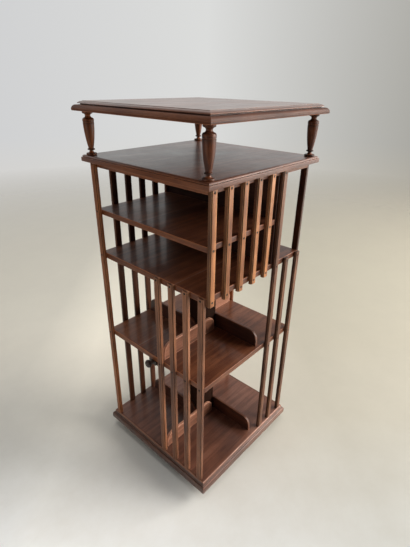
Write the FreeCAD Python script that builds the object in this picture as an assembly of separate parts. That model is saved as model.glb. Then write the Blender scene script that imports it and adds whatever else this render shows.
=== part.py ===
import FreeCAD, Part

import os

Vec = FreeCAD.Vector

# A revolving bookcase: an open case of shelves and upright slats that turns about an iron spindle,
# which stands on two crossed bearers, with a small table top raised on four turned balusters.
# Millimetres. The origin is on the turning axis at floor level, +Z is up, -Y is the face to the
# right of the nearest corner and -X the face to its left.

# Case boards, square on plan
shelf_side = 440.0
shelf_thickness = 18.0
half_shelf_thickness = 15.0
upper_board_thickness = 15.0
shelf_arris_radius = 1.2

# Clear heights between the boards, from the base up
lower_tier_height = 363.0
middle_tier_height = 272.5
half_tier_height = 124.0
upper_tier_height = 123.5

# Moulded boards: overhang, thickness and how far the moulding runs in from the edge. The base and
# the case top stand out past the slats, the table frame past the case top.
base_overhang = 10.0
base_board_thickness = 37.0
base_moulding_width = 12.0
case_top_overhang = 11.0
case_top_thickness = 17.5
case_top_moulding_width = 7.0
table_board_setback = 12.0
table_board_thickness = 10.0
table_moulding_width = 12.0
table_overhang = 7.8
table_frame_thickness = 15.0
table_frame_moulding_width = 13.0
table_frame_rail_width = 62.0

# Edge outlines from the underside up, as shares of the moulding width out and of the thickness up.
# Two numbers are a straight line to a point; four are a rounded corner and the point after it.
base_edge_shares = [
    (0.93, 0.00),
    (1.00, 0.03),
    (1.00, 0.38),
    (1.00, 0.62, 0.62, 0.63),
    (0.48, 0.63),
    (0.48, 0.69),
    (0.24, 0.71, 0.24, 0.92),
    (0.24, 1.00, 0.00, 1.00),
]
case_top_edge_shares = [
    (0.89, 0.00),
    (1.00, 0.04),
    (1.00, 0.61),
    (0.91, 0.65),
    (0.51, 0.65),
    (0.51, 0.72),
    (0.66, 0.72),
    (0.66, 1.00, 0.00, 1.00),
]
table_board_edge_shares = [
    (0.50, 0.00),
    (0.50, 0.25),
    (1.00, 0.31),
    (1.00, 0.40),
    (0.84, 0.84, 0.12, 0.92),
    (0.12, 1.00),
    (0.00, 1.00),
]
table_frame_edge_shares = [
    (0.86, 0.00),
    (1.00, 0.00, 1.00, 0.16),
    (1.00, 0.44),
    (0.95, 0.48),
    (0.84, 0.96, 0.32, 1.00),
    (0.00, 1.00),
]

# Turned balusters under the table top: height, largest radius, place and spigots
baluster_height = 115.0
baluster_radius = 15.5
baluster_inset = 22.0
spigot_radius = 5.0
lower_spigot_length = 14.0
upper_spigot_length = 11.0
spigot_hole_extra_depth = 1.0

# Baluster outline from the foot up, as shares of the radius and of the height
baluster_shares = [
    (0.860, 0.000),
    (0.940, 0.000, 0.940, 0.016),
    (0.940, 0.030),
    (0.940, 0.048, 0.820, 0.048),
    (0.610, 0.054),
    (0.355, 0.054, 0.355, 0.094),
    (0.355, 0.110),
    (0.520, 0.114),
    (0.665, 0.114, 0.665, 0.132),
    (0.665, 0.150, 0.540, 0.150),
    (0.470, 0.158),
    (0.480, 0.176),
    (0.965, 0.438, 0.980, 0.742),
    (0.925, 0.747),
    (0.925, 0.755),
    (0.990, 0.760),
    (1.000, 0.800),
    (1.000, 0.838, 0.760, 0.846),
    (0.465, 0.856, 0.465, 0.892),
    (0.465, 0.930, 0.740, 0.938),
    (0.910, 0.940, 0.910, 0.958),
    (0.910, 0.986),
    (0.910, 1.000, 0.820, 1.000),
]

# Upright slats
slat_width = 20.0
slat_thickness = 11.0
slat_rebate = 2.5
slat_end_gap = 1.0
right_long_slat_place = 75.0
slat_tail = 6.0
tenon_width = 12.0
tenon_thickness = 5.0
tenon_length = 10.0
mortise_gap = 0.1

# How many slats stand on each face
right_upper_slats = 5
lower_run_slats = 4
back_left_upper_slats = 2

# Countersunk screws through the slats into the board edges
screw_head_radius = 3.3
screw_head_depth = 2.6
screw_shank_radius = 1.75
screw_length = 32.0
screw_point_length = 5.0
screw_slot_width = 0.8
screw_slot_depth = 0.9
screw_gap = 0.05
screw_level_shift = 2.5

# Upright back panel and the half shelf that it stops
panel_thickness = 12.0
panel_place = 72.0

# Hollow square column of four boards in each lower tier
column_side = 74.0
column_board_thickness = 10.0

# Low book stops around the column
stop_thickness = 9.0
stop_height = 54.0
stop_edge_setback = 9.0
stop_past_axis = 22.0
stop_round_length = 27.0
stop_round_drop = 34.0
stop_arris_radius = 0.8

# Pull slide with a turned knob under the lower shelf
slide_place = 5.0
slide_bar_width = 30.0
slide_bar_height = 20.0
slide_front_setback = 1.0
slide_column_gap = 10.0
slide_travel = 110.0
slide_gap = 0.3
runner_length = 110.0
runner_setback = 8.0
runner_wall = 8.0
runner_lip = 5.0
runner_lip_height = 4.0
peg_radius = 3.0
peg_place = 20.0
peg_in_shelf = 10.0
peg_in_groove = 7.0
groove_depth = 8.0
knob_radius = 13.0
knob_length = 25.0
knob_spigot_radius = 4.0
knob_spigot_length = 14.0

# Knob outline from its seat to its face, as shares of the radius and of the length
knob_shares = [
    (0.620, 0.000),
    (0.620, 0.080),
    (0.400, 0.090, 0.400, 0.240),
    (0.400, 0.420, 0.800, 0.440),
    (1.000, 0.450, 1.000, 0.640),
    (1.000, 0.880, 0.560, 0.950),
    (0.300, 1.000, 0.000, 1.000),
]

# Foot: two bearers halved together on the diagonals, pads, pivot plate, spindle
pad_radius = 19.0
pad_height = 6.0
pad_inset = 28.0
bearer_length = 460.0
bearer_width = 46.0
bearer_height = 24.0
bearer_bevel_length = 34.0
bearer_bevel_drop = 9.0
pivot_plate_radius = 55.0
pivot_plate_thickness = 4.0
plate_screw_circle = 42.0
plate_screw_head_radius = 4.5
plate_screw_head_depth = 2.4
plate_screw_shank_radius = 2.2
plate_screw_length = 18.0
spindle_radius = 11.0
spindle_socket_depth = 18.0
spindle_head_gap = 6.0
spindle_nose_chamfer = 2.0
washer_radius = 24.0
washer_thickness = 1.5
hub_plate_side = 100.0
hub_plate_thickness = 2.5
hub_screw_spacing = 76.0
hub_screw_head_depth = 2.0
spindle_room = 2.0
running_gap = 0.05
head_block_height = 45.0
bush_radius = 15.0
bush_length = 40.0

# Overrun of a cutting tool past the face that it cuts
overrun = 1.0

# A rounded corner drawn as one curve holds this share of the way to the corner at each end
round_corner_share = 0.5523

# Heights worked out from the sizes above
bearer_bottom = pad_height
bearer_top = bearer_bottom + bearer_height
pivot_plate_top = bearer_top + pivot_plate_thickness
washer_top = pivot_plate_top + washer_thickness
base_bottom = washer_top + hub_plate_thickness
base_top = base_bottom + base_board_thickness
lower_shelf_bottom = base_top + lower_tier_height
lower_shelf_top = lower_shelf_bottom + shelf_thickness
middle_shelf_bottom = lower_shelf_top + middle_tier_height
middle_shelf_top = middle_shelf_bottom + shelf_thickness
half_shelf_bottom = middle_shelf_top + half_tier_height
half_shelf_top = half_shelf_bottom + half_shelf_thickness
upper_board_bottom = half_shelf_top + upper_tier_height
case_top_bottom = upper_board_bottom + upper_board_thickness
case_top_top = case_top_bottom + case_top_thickness
table_frame_bottom = case_top_top + baluster_height
table_frame_top = table_frame_bottom + table_frame_thickness

# Plan sizes and places worked out from the sizes above
shelf_half = shelf_side / 2
base_board_side = shelf_side + (slat_thickness + base_overhang) * 2
case_top_side = shelf_side + (slat_thickness + case_top_overhang) * 2
table_frame_side = case_top_side + table_overhang * 2
table_board_side = table_frame_side - table_board_setback * 2
panel_front = panel_place - panel_thickness / 2
panel_back = panel_place + panel_thickness / 2
column_half = column_side / 2
baluster_place = case_top_side / 2 - baluster_inset
spindle_top = middle_shelf_bottom - spindle_head_gap
plate_bore = spindle_radius + running_gap

# The slats' pitch: on the right face from the near corner to the full-height slat, on the other
# faces from a corner to the slat that covers the upright panel's edge
first_slat = -shelf_half + slat_end_gap
right_slat_pitch = (right_long_slat_place - first_slat) / right_upper_slats
slat_pitch = (panel_back - slat_width - first_slat) / (lower_run_slats + back_left_upper_slats - 1)

# Each face of the case is the -Y face turned about the axis by this many degrees
face_turns = {"right": 0, "back_right": 90, "back_left": 180, "left": -90}


def turned(shape, degrees):
    """A copy of a shape turned about the bookcase's axis."""
    copy = shape.copy()
    copy.rotate(Vec(0, 0, 0), Vec(0, 0, 1), degrees)
    return copy


def block(low_x, high_x, low_y, high_y, low_z, high_z):
    """A rectangular block between two corners."""
    size = (high_x - low_x, high_y - low_y, high_z - low_z)
    return Part.makeBox(*size, Vec(low_x, low_y, low_z))


def centred_board(side, bottom, thickness):
    """A square board centred on the turning axis."""
    half = side / 2
    return block(-half, half, -half, half, bottom, bottom + thickness)


def round_bar(radius, length, place, direction):
    """A cylinder that starts at a place and runs along a direction."""
    return Part.makeCylinder(radius, length, place, direction)


def rounded_corner(start, corner, end):
    """A quarter curve that leaves start towards the corner and arrives at end from it."""
    curve = Part.BezierCurve()
    first = start + (corner - start) * round_corner_share
    second = end + (corner - end) * round_corner_share
    curve.setPoles([start, first, second, end])
    return curve.toShape()


def outline_edges(points, place):
    """Edges through an outline's points; place turns two numbers into a point in space."""
    here = place(*points[0])
    edges = []
    for point in points[1:]:
        there = place(*point[-2:])
        if len(point) == 2:
            edges.append(Part.makeLine(here, there))
        else:
            edges.append(rounded_corner(here, place(*point[:2]), there))
        here = there
    return edges


def prism_with_edge(side, bottom, thickness, moulding_width, shares):
    """A bar along Y whose section has the moulded outline on both its sides."""
    half = side / 2

    def to_right(out_share, up_share):
        out = half - moulding_width * (1 - out_share)
        return Vec(out, -side, bottom + thickness * up_share)

    def to_left(out_share, up_share):
        point = to_right(out_share, up_share)
        return Vec(-point.x, point.y, point.z)

    right = outline_edges(shares, to_right)
    left = outline_edges(shares, to_left)
    first = shares[0][-2:]
    last = shares[-1][-2:]
    under = Part.makeLine(to_left(*first), to_right(*first))
    over = Part.makeLine(to_left(*last), to_right(*last))
    wire = Part.Wire(Part.__sortEdges__([under, over] + right + left))
    return Part.Face(wire).extrude(Vec(0, side + side, 0))


def moulded_board(side, bottom, thickness, moulding_width, shares):
    """A square board with the same moulding worked on its four edges, mitred at the corners."""
    bar = prism_with_edge(side, bottom, thickness, moulding_width, shares)
    return bar.common(turned(bar, 90)).removeSplitter()


def turned_piece(shares, radius, length, start, direction, across):
    """A lathe-turned solid on the line from start along direction; across is square to it."""

    def place(radius_share, length_share):
        return start + across * (radius * radius_share) + direction * (length * length_share)

    edges = outline_edges(shares, place)
    foot = start
    head = start + direction * length
    if (place(*shares[0][-2:]) - foot).Length > 0:
        edges.insert(0, Part.makeLine(foot, place(*shares[0][-2:])))
    if (place(*shares[-1][-2:]) - head).Length > 0:
        edges.append(Part.makeLine(place(*shares[-1][-2:]), head))
    edges.append(Part.makeLine(head, foot))
    face = Part.Face(Part.Wire(edges))
    return face.revolve(start, direction, 360)


def countersunk(place, inward, head_radius, head_depth, shank_radius, length, point_length):
    """A countersunk screw body whose head is flush at place and which runs inward."""
    head = Part.makeCone(head_radius, shank_radius, head_depth, place, inward)
    shank_end = place + inward * (length - point_length)
    shank = Part.makeCylinder(shank_radius, length - point_length, place, inward)
    body = head.fuse(shank)
    if point_length > 0:
        body = body.fuse(Part.makeCone(shank_radius, 0, point_length, shank_end, inward))
    return body


def slotted(screw, place, inward, across, head_radius):
    """A screw with a straight slot cut across its head; across lies in the head's face."""
    along = inward.cross(across)
    corner = place - across * (screw_slot_width / 2) - along * head_radius - inward * overrun
    slot = Part.makeBox(screw_slot_width, head_radius * 2, overrun + screw_slot_depth)
    frame = FreeCAD.Matrix(
        across.x, along.x, inward.x, corner.x,
        across.y, along.y, inward.y, corner.y,
        across.z, along.z, inward.z, corner.z,
    )
    slot.transformShape(frame)
    return screw.cut(slot)


# Where the slats stand: name, face, left edge seen from outside, foot and head
def slat_list():
    """Every slat of the case as name, face, left edge on that face, foot height, head height."""
    last_slat = -first_slat - slat_width
    short_foot = middle_shelf_bottom - slat_tail
    slats = [("slat_left_corner_long", "left", first_slat, base_top, case_top_bottom)]
    for k in range(right_upper_slats):
        left_edge = first_slat + k * right_slat_pitch
        slats.append((f"slat_right_upper_{k + 1}", "right", left_edge, short_foot, case_top_bottom))
    left_edge = right_long_slat_place
    slats.append(("slat_right_long", "right", left_edge, base_top, case_top_bottom))
    left_edge = left_edge + right_slat_pitch
    slats.append(("slat_right_lower_1", "right", left_edge, base_top, middle_shelf_top))
    slats.append(("slat_right_lower_2", "right", last_slat, base_top, middle_shelf_top))
    for k in range(lower_run_slats):
        left_edge = last_slat - k * slat_pitch
        slats.append((f"slat_left_lower_{k + 1}", "left", left_edge, base_top, middle_shelf_top))
        if k == 0:
            slats.append(("slat_back_corner_long", "back_right", left_edge, base_top, case_top_bottom))
        else:
            slats.append((f"slat_back_left_long_{k}", "back_left", left_edge, base_top, case_top_bottom))
            slats.append(("slats_back_right_lower", "back_right", left_edge, base_top, middle_shelf_top))
    for k in range(back_left_upper_slats):
        left_edge = last_slat - (lower_run_slats + k) * slat_pitch
        slats.append((f"slat_back_left_upper_{k + 1}", "back_left", left_edge, short_foot, case_top_bottom))
    slats.append(("slat_right_corner_upper", "back_right", first_slat, short_foot, case_top_bottom))
    return slats


def board_edges():
    """Boards that the slats are screwed to: name, mid height, and their run on each face."""
    whole = (-shelf_half, shelf_half)
    every_face = {face: whole for face in face_turns}
    half_faces = {
        "left": whole,
        "right": (-shelf_half, panel_front),
        "back_left": (-panel_front, shelf_half),
    }
    return [
        ("lower_shelf", lower_shelf_top - shelf_thickness / 2, every_face),
        ("middle_shelf", middle_shelf_top - shelf_thickness / 2, every_face),
        ("half_shelf", half_shelf_top - half_shelf_thickness / 2, half_faces),
        ("upper_board", case_top_bottom - upper_board_thickness / 2, every_face),
    ]


def screws_in(face, left_edge, foot, head):
    """Boards and heights at which one slat is screwed, clear of the screws of the next face."""
    shift = screw_level_shift if face in ("left", "back_right") else -screw_level_shift
    centre = left_edge + slat_width / 2
    found = []
    for board, middle, runs in board_edges():
        if face in runs and runs[face][0] < centre < runs[face][1] and foot < middle < head:
            found.append((board, centre, middle + shift))
    return found


def slat(face, left_edge, foot, head):
    """One slat: stepped front arrises, screw holes, and a tenon where it stands on the base."""
    inner = -shelf_half
    outer = inner - slat_thickness
    step = slat_rebate
    right_edge = left_edge + slat_width
    plan = [
        (left_edge, inner),
        (right_edge, inner),
        (right_edge, outer + step),
        (right_edge - step, outer + step),
        (right_edge - step, outer),
        (left_edge + step, outer),
        (left_edge + step, outer + step),
        (left_edge, outer + step),
        (left_edge, inner),
    ]
    wire = Part.makePolygon([Vec(x, y, foot) for x, y in plan])
    body = Part.Face(wire).extrude(Vec(0, 0, head - foot))
    if foot == base_top:
        body = body.fuse(tenon(left_edge, 0)).removeSplitter()
    for board, centre, height in screws_in(face, left_edge, foot, head):
        place = Vec(centre, outer, height)
        hole = countersunk(
            place, Vec(0, 1, 0), screw_head_radius + screw_gap, screw_head_depth,
            screw_shank_radius + screw_gap, screw_length, 0,
        )
        body = body.cut(hole)
    return turned(body, face_turns[face])


def tenon(left_edge, gap):
    """The tenon under a slat, or with a gap its mortise, on the -Y face."""
    middle_x = left_edge + slat_width / 2
    middle_y = -shelf_half - slat_thickness / 2
    half_width = tenon_width / 2 + gap
    half_thickness = tenon_thickness / 2 + gap
    low = base_top - tenon_length - gap
    return block(
        middle_x - half_width, middle_x + half_width,
        middle_y - half_thickness, middle_y + half_thickness,
        low, base_top + gap,
    )


def slat_screw(face, centre, height):
    """One countersunk screw through a slat into the edge of a board."""
    place = Vec(centre, -shelf_half - slat_thickness, height)
    inward = Vec(0, 1, 0)
    body = countersunk(
        place, inward, screw_head_radius, screw_head_depth,
        screw_shank_radius, screw_length, screw_point_length,
    )
    body = slotted(body, place, inward, Vec(0, 0, 1), screw_head_radius)
    return turned(body, face_turns[face])


def pilot_holes(name):
    """The holes that the slat screws need in one board."""
    holes = []
    for slat_name, face, left_edge, foot, head in slat_list():
        for board, centre, height in screws_in(face, left_edge, foot, head):
            if board == name:
                place = Vec(centre, -shelf_half - overrun, height)
                depth = screw_length - slat_thickness + overrun
                hole = round_bar(screw_shank_radius + screw_gap, depth, place, Vec(0, 1, 0))
                holes.append(turned(hole, face_turns[face]))
    return holes


def spindle_clearance(bottom, thickness):
    """The hole that lets the spindle pass through a board with room to spare."""
    radius = spindle_radius + spindle_room
    start = Vec(0, 0, bottom - overrun)
    return round_bar(radius, thickness + overrun * 2, start, Vec(0, 0, 1))


def full_shelf(name, bottom):
    """A square shelf with softened arrises and its screw holes."""
    board = centred_board(shelf_side, bottom, shelf_thickness)
    board = board.makeFillet(shelf_arris_radius, board.Edges)
    return board.cut(pilot_holes(name))


def base_board():
    """The moulded board that the case stands on, with mortises for the slats."""
    board = moulded_board(
        base_board_side, base_bottom, base_board_thickness, base_moulding_width, base_edge_shares)
    cuts = [spindle_clearance(base_bottom, base_board_thickness)]
    for name, face, left_edge, foot, head in slat_list():
        if foot == base_top:
            cuts.append(turned(tenon(left_edge, mortise_gap), face_turns[face]))
    half_spacing = hub_screw_spacing / 2
    for x in (-half_spacing, half_spacing):
        for y in (-half_spacing, half_spacing):
            start = Vec(x, y, base_bottom - overrun)
            depth = plate_screw_length - hub_plate_thickness + overrun
            cuts.append(round_bar(plate_screw_shank_radius + screw_gap, depth, start, Vec(0, 0, 1)))
    return board.cut(cuts)


def lower_shelf():
    """The lower shelf, with room for the spindle and a hole for the slide's stop peg."""
    board = full_shelf("lower_shelf", lower_shelf_bottom)
    peg_hole = round_bar(
        peg_radius + running_gap, peg_in_shelf, peg_centre(lower_shelf_bottom), Vec(0, 0, 1))
    return board.cut([spindle_clearance(lower_shelf_bottom, shelf_thickness), peg_hole])


def half_shelf():
    """The shelf from the open left face back to the upright panel."""
    board = block(
        -shelf_half, panel_front, -shelf_half, shelf_half, half_shelf_bottom, half_shelf_top)
    front = [edge for edge in board.Edges if edge.CenterOfMass.x <= -shelf_half]
    board = board.makeFillet(shelf_arris_radius, front)
    return board.cut(pilot_holes("half_shelf"))


def back_panel():
    """The upright panel that backs the large upper compartment."""
    return block(
        panel_front, panel_back, -shelf_half, shelf_half, middle_shelf_top, upper_board_bottom)


def upper_board():
    """The plain board under the case top, whose edges take the heads of the slats."""
    board = centred_board(shelf_side, upper_board_bottom, upper_board_thickness)
    return board.cut(pilot_holes("upper_board"))


def spigot_holes(bottom, depth):
    """Four blind holes for the balusters' spigots, upwards from a height."""
    holes = []
    for x in (-baluster_place, baluster_place):
        for y in (-baluster_place, baluster_place):
            holes.append(round_bar(spigot_radius + running_gap, depth, Vec(x, y, bottom), Vec(0, 0, 1)))
    return holes


def case_top():
    """The moulded board that covers the case."""
    board = moulded_board(
        case_top_side, case_top_bottom, case_top_thickness, case_top_moulding_width,
        case_top_edge_shares)
    depth = lower_spigot_length + spigot_hole_extra_depth
    return board.cut(spigot_holes(case_top_top - depth, depth + overrun))


def table_frame_rails():
    """Four mitred rails under the table top, each with the moulding on its outer edge."""
    board = moulded_board(
        table_frame_side, table_frame_bottom, table_frame_thickness, table_frame_moulding_width,
        table_frame_edge_shares)
    inner_side = table_frame_side - table_frame_rail_width * 2
    inner = centred_board(inner_side, table_frame_bottom - overrun, table_frame_thickness + overrun * 2)
    depth = upper_spigot_length + spigot_hole_extra_depth
    ring = board.cut([inner] + spigot_holes(table_frame_bottom - overrun, depth + overrun))
    reach = table_frame_side
    corners = [Vec(0, 0, 0), Vec(-reach, -reach, 0), Vec(reach, -reach, 0), Vec(0, 0, 0)]
    wedge = Part.Face(Part.makePolygon(corners)).extrude(Vec(0, 0, table_frame_top + overrun))
    return [ring.common(turned(wedge, turn)) for turn in face_turns.values()]


def table_board():
    """The panel of the table top with its thumb-moulded edge."""
    return moulded_board(
        table_board_side, table_frame_top, table_board_thickness, table_moulding_width,
        table_board_edge_shares)


def baluster(x, y):
    """A turned baluster with a spigot at each end."""
    up = Vec(0, 0, 1)
    foot = Vec(x, y, case_top_top)
    body = turned_piece(baluster_shares, baluster_radius, baluster_height, foot, up, Vec(1, 0, 0))
    length = lower_spigot_length + baluster_height + upper_spigot_length
    spigots = round_bar(spigot_radius, length, foot - up * lower_spigot_length, up)
    return body.fuse(spigots).removeSplitter()


def column(bottom, height):
    """Four boards butted around a hollow square."""
    board = block(
        -column_half, column_half - column_board_thickness,
        -column_half, column_board_thickness - column_half,
        bottom, bottom + height)
    return [turned(board, turn) for turn in face_turns.values()]


def book_stop(bottom):
    """A low board against the column's -Y face with rounded upper corners."""
    back = -column_half - stop_thickness
    outer = stop_edge_setback - shelf_half
    top = bottom + stop_height
    shoulder = top - stop_round_drop
    low_left = Vec(outer, back, bottom)
    low_right = Vec(stop_past_axis, back, bottom)
    left_shoulder = Vec(outer, back, shoulder)
    right_shoulder = Vec(stop_past_axis, back, shoulder)
    top_left = Vec(outer + stop_round_length, back, top)
    top_right = Vec(stop_past_axis - stop_round_length, back, top)
    edges = [
        Part.makeLine(low_left, left_shoulder),
        rounded_corner(left_shoulder, Vec(outer, back, top), top_left),
        Part.makeLine(top_left, top_right),
        rounded_corner(top_right, Vec(stop_past_axis, back, top), right_shoulder),
        Part.makeLine(right_shoulder, low_right),
        Part.makeLine(low_right, low_left),
    ]
    board = Part.Face(Part.Wire(edges)).extrude(Vec(0, stop_thickness, 0))
    across = back + stop_thickness / 2
    arrises = [
        edge for edge in board.Edges
        if edge.CenterOfMass.z > bottom and abs(edge.CenterOfMass.y - across) > overrun
    ]
    return board.makeFillet(stop_arris_radius, arrises)


def head_block():
    """The block in the head of the upper column that holds the spindle's bush."""
    side = column_side - column_board_thickness * 2
    bottom = middle_shelf_bottom - head_block_height
    body = centred_board(side, bottom, head_block_height)
    hole = round_bar(
        bush_radius + running_gap, head_block_height + overrun * 2,
        Vec(0, 0, bottom - overrun), Vec(0, 0, 1))
    return body.cut(hole)


def tube(outer_radius, inner_radius, bottom, height):
    """A plain tube on the turning axis."""
    start = Vec(0, 0, bottom)
    outer = round_bar(outer_radius, height, start, Vec(0, 0, 1))
    inner = round_bar(inner_radius, height, start, Vec(0, 0, 1))
    return outer.cut(inner)


# The slide's centre line and how its parts follow each other under the lower shelf
slide_top = lower_shelf_bottom - slide_gap
slide_bottom = slide_top - slide_bar_height
slide_front = slide_front_setback - shelf_half
slide_back = -column_half - slide_column_gap


def peg_centre(height):
    """The stop peg's axis at a height."""
    return Vec(peg_place - shelf_half, slide_place, height)


def slide_bar():
    """The sliding bar, grooved along its top for the stop peg and bored for the knob."""
    half = slide_bar_width / 2
    body = block(
        slide_front, slide_back, slide_place - half, slide_place + half, slide_bottom, slide_top)
    room = peg_radius + slide_gap
    start = peg_centre(slide_top - groove_depth)
    near = round_bar(room, groove_depth + overrun, start, Vec(0, 0, 1))
    far = round_bar(room, groove_depth + overrun, start + Vec(slide_travel, 0, 0), Vec(0, 0, 1))
    middle = block(
        start.x, start.x + slide_travel, slide_place - room, slide_place + room,
        start.z, slide_top + overrun)
    seat = knob_seat()
    bore = round_bar(knob_spigot_radius + running_gap, knob_spigot_length, seat, Vec(1, 0, 0))
    return body.cut([near, far, middle, bore])


def knob_seat():
    """The centre of the bar's front end, where the knob sits."""
    return Vec(slide_front, slide_place, (slide_top + slide_bottom) / 2)


def slide_knob():
    """The turned knob on the bar's front end with its spigot."""
    outward = Vec(-1, 0, 0)
    body = turned_piece(knob_shares, knob_radius, knob_length, knob_seat(), outward, Vec(0, 0, 1))
    spigot = round_bar(knob_spigot_radius, knob_spigot_length, knob_seat(), Vec(1, 0, 0))
    return body.fuse(spigot).removeSplitter()


def slide_runner(side):
    """One L-shaped runner that carries the bar; side is -1 or 1 across the bar."""
    bar_face = slide_bar_width / 2 + slide_gap
    near = slide_place + side * (slide_bar_width / 2 - runner_lip)
    inner = slide_place + side * bar_face
    outer = slide_place + side * (bar_face + runner_wall)
    front = runner_setback - shelf_half
    back = front + runner_length
    lip_top = slide_bottom - slide_gap
    low = lip_top - runner_lip_height
    wall = block(front, back, min(inner, outer), max(inner, outer), low, lower_shelf_bottom)
    lip = block(front, back, min(near, outer), max(near, outer), low, lip_top)
    return wall.fuse(lip).removeSplitter()


def stop_peg():
    """The peg in the lower shelf that runs in the bar's groove."""
    bottom = slide_top - peg_in_groove
    length = lower_shelf_bottom + peg_in_shelf - bottom
    return round_bar(peg_radius, length, peg_centre(bottom), Vec(0, 0, 1))


def bearer():
    """One bearer of the foot along X, bevelled at its ends, before it is halved."""
    half = bearer_length / 2
    shoulder = half - bearer_bevel_length
    side = [
        (-half, bearer_bottom),
        (half, bearer_bottom),
        (half, bearer_top - bearer_bevel_drop),
        (shoulder, bearer_top),
        (-shoulder, bearer_top),
        (-half, bearer_top - bearer_bevel_drop),
        (-half, bearer_bottom),
    ]
    wire = Part.makePolygon([Vec(x, -bearer_width / 2, z) for x, z in side])
    return Part.Face(wire).extrude(Vec(0, bearer_width, 0))


def lap(low, high):
    """The notch that lets one bearer cross the other."""
    half = bearer_width / 2
    return block(-half, half, -half - overrun, half + overrun, low, high)


def foot_bearers():
    """The two bearers halved together, turned onto the diagonals."""
    middle = (bearer_bottom + bearer_top) / 2
    socket_start = Vec(0, 0, bearer_top - spindle_socket_depth)
    socket = round_bar(plate_bore, spindle_socket_depth + overrun, socket_start, Vec(0, 0, 1))
    cuts = [socket] + plate_screw_holes()
    long_one = bearer().cut([lap(middle, bearer_top + overrun)] + cuts)
    cross_one = bearer().cut(lap(bearer_bottom - overrun, middle))
    cross_one = turned(cross_one, 90).cut(cuts)
    return turned(long_one, 45), turned(cross_one, 45)


def foot_pads():
    """Four round pads under the bearers' ends."""
    reach = bearer_length / 2 - pad_inset
    pad = round_bar(pad_radius, pad_height, Vec(reach, 0, 0), Vec(0, 0, 1))
    return [turned(pad, 45 + turn) for turn in face_turns.values()]


def plate_screw_holes():
    """Pilot holes in the bearers for the pivot plate's screws, before the foot is turned."""
    start = Vec(plate_screw_circle, 0, bearer_top - plate_screw_length + pivot_plate_thickness)
    hole = round_bar(
        plate_screw_shank_radius + screw_gap, plate_screw_length, start, Vec(0, 0, 1))
    return [turned(hole, turn) for turn in face_turns.values()]


def plate_screw(place, inward, head_depth, gap, point_length):
    """A screw of the iron plates, or with a gap its hole."""
    return countersunk(
        place, inward, plate_screw_head_radius + gap, head_depth,
        plate_screw_shank_radius + gap, plate_screw_length, point_length)


def pivot_screw_set(gap, point_length):
    """The four screws of the pivot plate, on the bearers' centre lines."""
    place = Vec(plate_screw_circle, 0, pivot_plate_top)
    screw = plate_screw(place, Vec(0, 0, -1), plate_screw_head_depth, gap, point_length)
    return [turned(screw, 45 + turn) for turn in face_turns.values()]


def hub_screw_set(gap, point_length):
    """The four screws of the hub plate, driven up into the base board."""
    half = hub_screw_spacing / 2
    screws = []
    for x in (-half, half):
        for y in (-half, half):
            place = Vec(x, y, base_bottom - hub_plate_thickness)
            screws.append(plate_screw(place, Vec(0, 0, 1), hub_screw_head_depth, gap, point_length))
    return screws


def pivot_plate():
    """The round iron plate on the crossing of the bearers."""
    plate = tube(pivot_plate_radius, plate_bore, bearer_top, pivot_plate_thickness)
    return plate.cut(pivot_screw_set(screw_gap, 0))


def hub_plate():
    """The square iron plate under the base board, bored for the spindle."""
    plate = centred_board(hub_plate_side, base_bottom - hub_plate_thickness, hub_plate_thickness)
    bore = round_bar(
        plate_bore, hub_plate_thickness + overrun * 2,
        Vec(0, 0, base_bottom - hub_plate_thickness - overrun), Vec(0, 0, 1))
    return plate.cut([bore] + hub_screw_set(screw_gap, 0))


def spindle():
    """The iron spindle from its socket in the foot up into the head bush."""
    bottom = bearer_top - spindle_socket_depth
    bar = round_bar(spindle_radius, spindle_top - bottom, Vec(0, 0, bottom), Vec(0, 0, 1))
    rims = [edge for edge in bar.Edges if edge.CenterOfMass.z > spindle_top - running_gap]
    return bar.makeChamfer(spindle_nose_chamfer, rims)


def slat_nodes():
    """The slats' solids under their node names."""
    nodes = {}
    for name, face, left_edge, foot, head in slat_list():
        nodes.setdefault(name, []).append(slat(face, left_edge, foot, head))
    return nodes


def all_slat_screws():
    """Every screw that holds a slat to a board."""
    screws = []
    for name, face, left_edge, foot, head in slat_list():
        for board, centre, height in screws_in(face, left_edge, foot, head):
            screws.append(slat_screw(face, centre, height))
    return screws


def foot_nodes():
    """What stays still on the floor."""
    long_one, cross_one = foot_bearers()
    return {
        "foot_bearer_long": [long_one],
        "foot_bearer_cross": [cross_one],
        "foot_pads": foot_pads(),
        "pivot_plate": [pivot_plate()],
        "pivot_plate_screws": pivot_screw_set(0, screw_point_length),
        "spindle": [spindle()],
        "thrust_washer": [tube(washer_radius, plate_bore, pivot_plate_top, washer_thickness)],
    }


def case_nodes():
    """What turns about the spindle, apart from the slats."""
    nodes = {
        "hub_plate": [hub_plate()],
        "hub_plate_screws": hub_screw_set(0, screw_point_length),
        "base_board": [base_board()],
        "lower_shelf": [lower_shelf()],
        "middle_shelf": [full_shelf("middle_shelf", middle_shelf_bottom)],
        "half_shelf": [half_shelf()],
        "back_panel": [back_panel()],
        "upper_board": [upper_board()],
        "case_top": [case_top()],
        "table_frame_rails": table_frame_rails(),
        "table_board": [table_board()],
        "lower_column": column(base_top, lower_tier_height),
        "middle_column": column(lower_shelf_top, middle_tier_height),
        "head_block": [head_block()],
        "head_bush": [tube(bush_radius, plate_bore, middle_shelf_bottom - head_block_height, bush_length)],
        "slide_runners": [slide_runner(-1), slide_runner(1)],
        "slide_stop_peg": [stop_peg()],
        "slat_screws": all_slat_screws(),
    }
    corners = {"near": (-1, -1), "right": (1, -1), "back": (1, 1), "left": (-1, 1)}
    for corner, (side_x, side_y) in corners.items():
        piece = baluster(side_x * baluster_place, side_y * baluster_place)
        nodes[f"baluster_{corner}"] = [piece]
    for tier, bottom in (("lower", base_top), ("middle", lower_shelf_top)):
        for face, turn in face_turns.items():
            nodes[f"book_stop_{tier}_{face}"] = [turned(book_stop(bottom), turn)]
    return nodes


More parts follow.
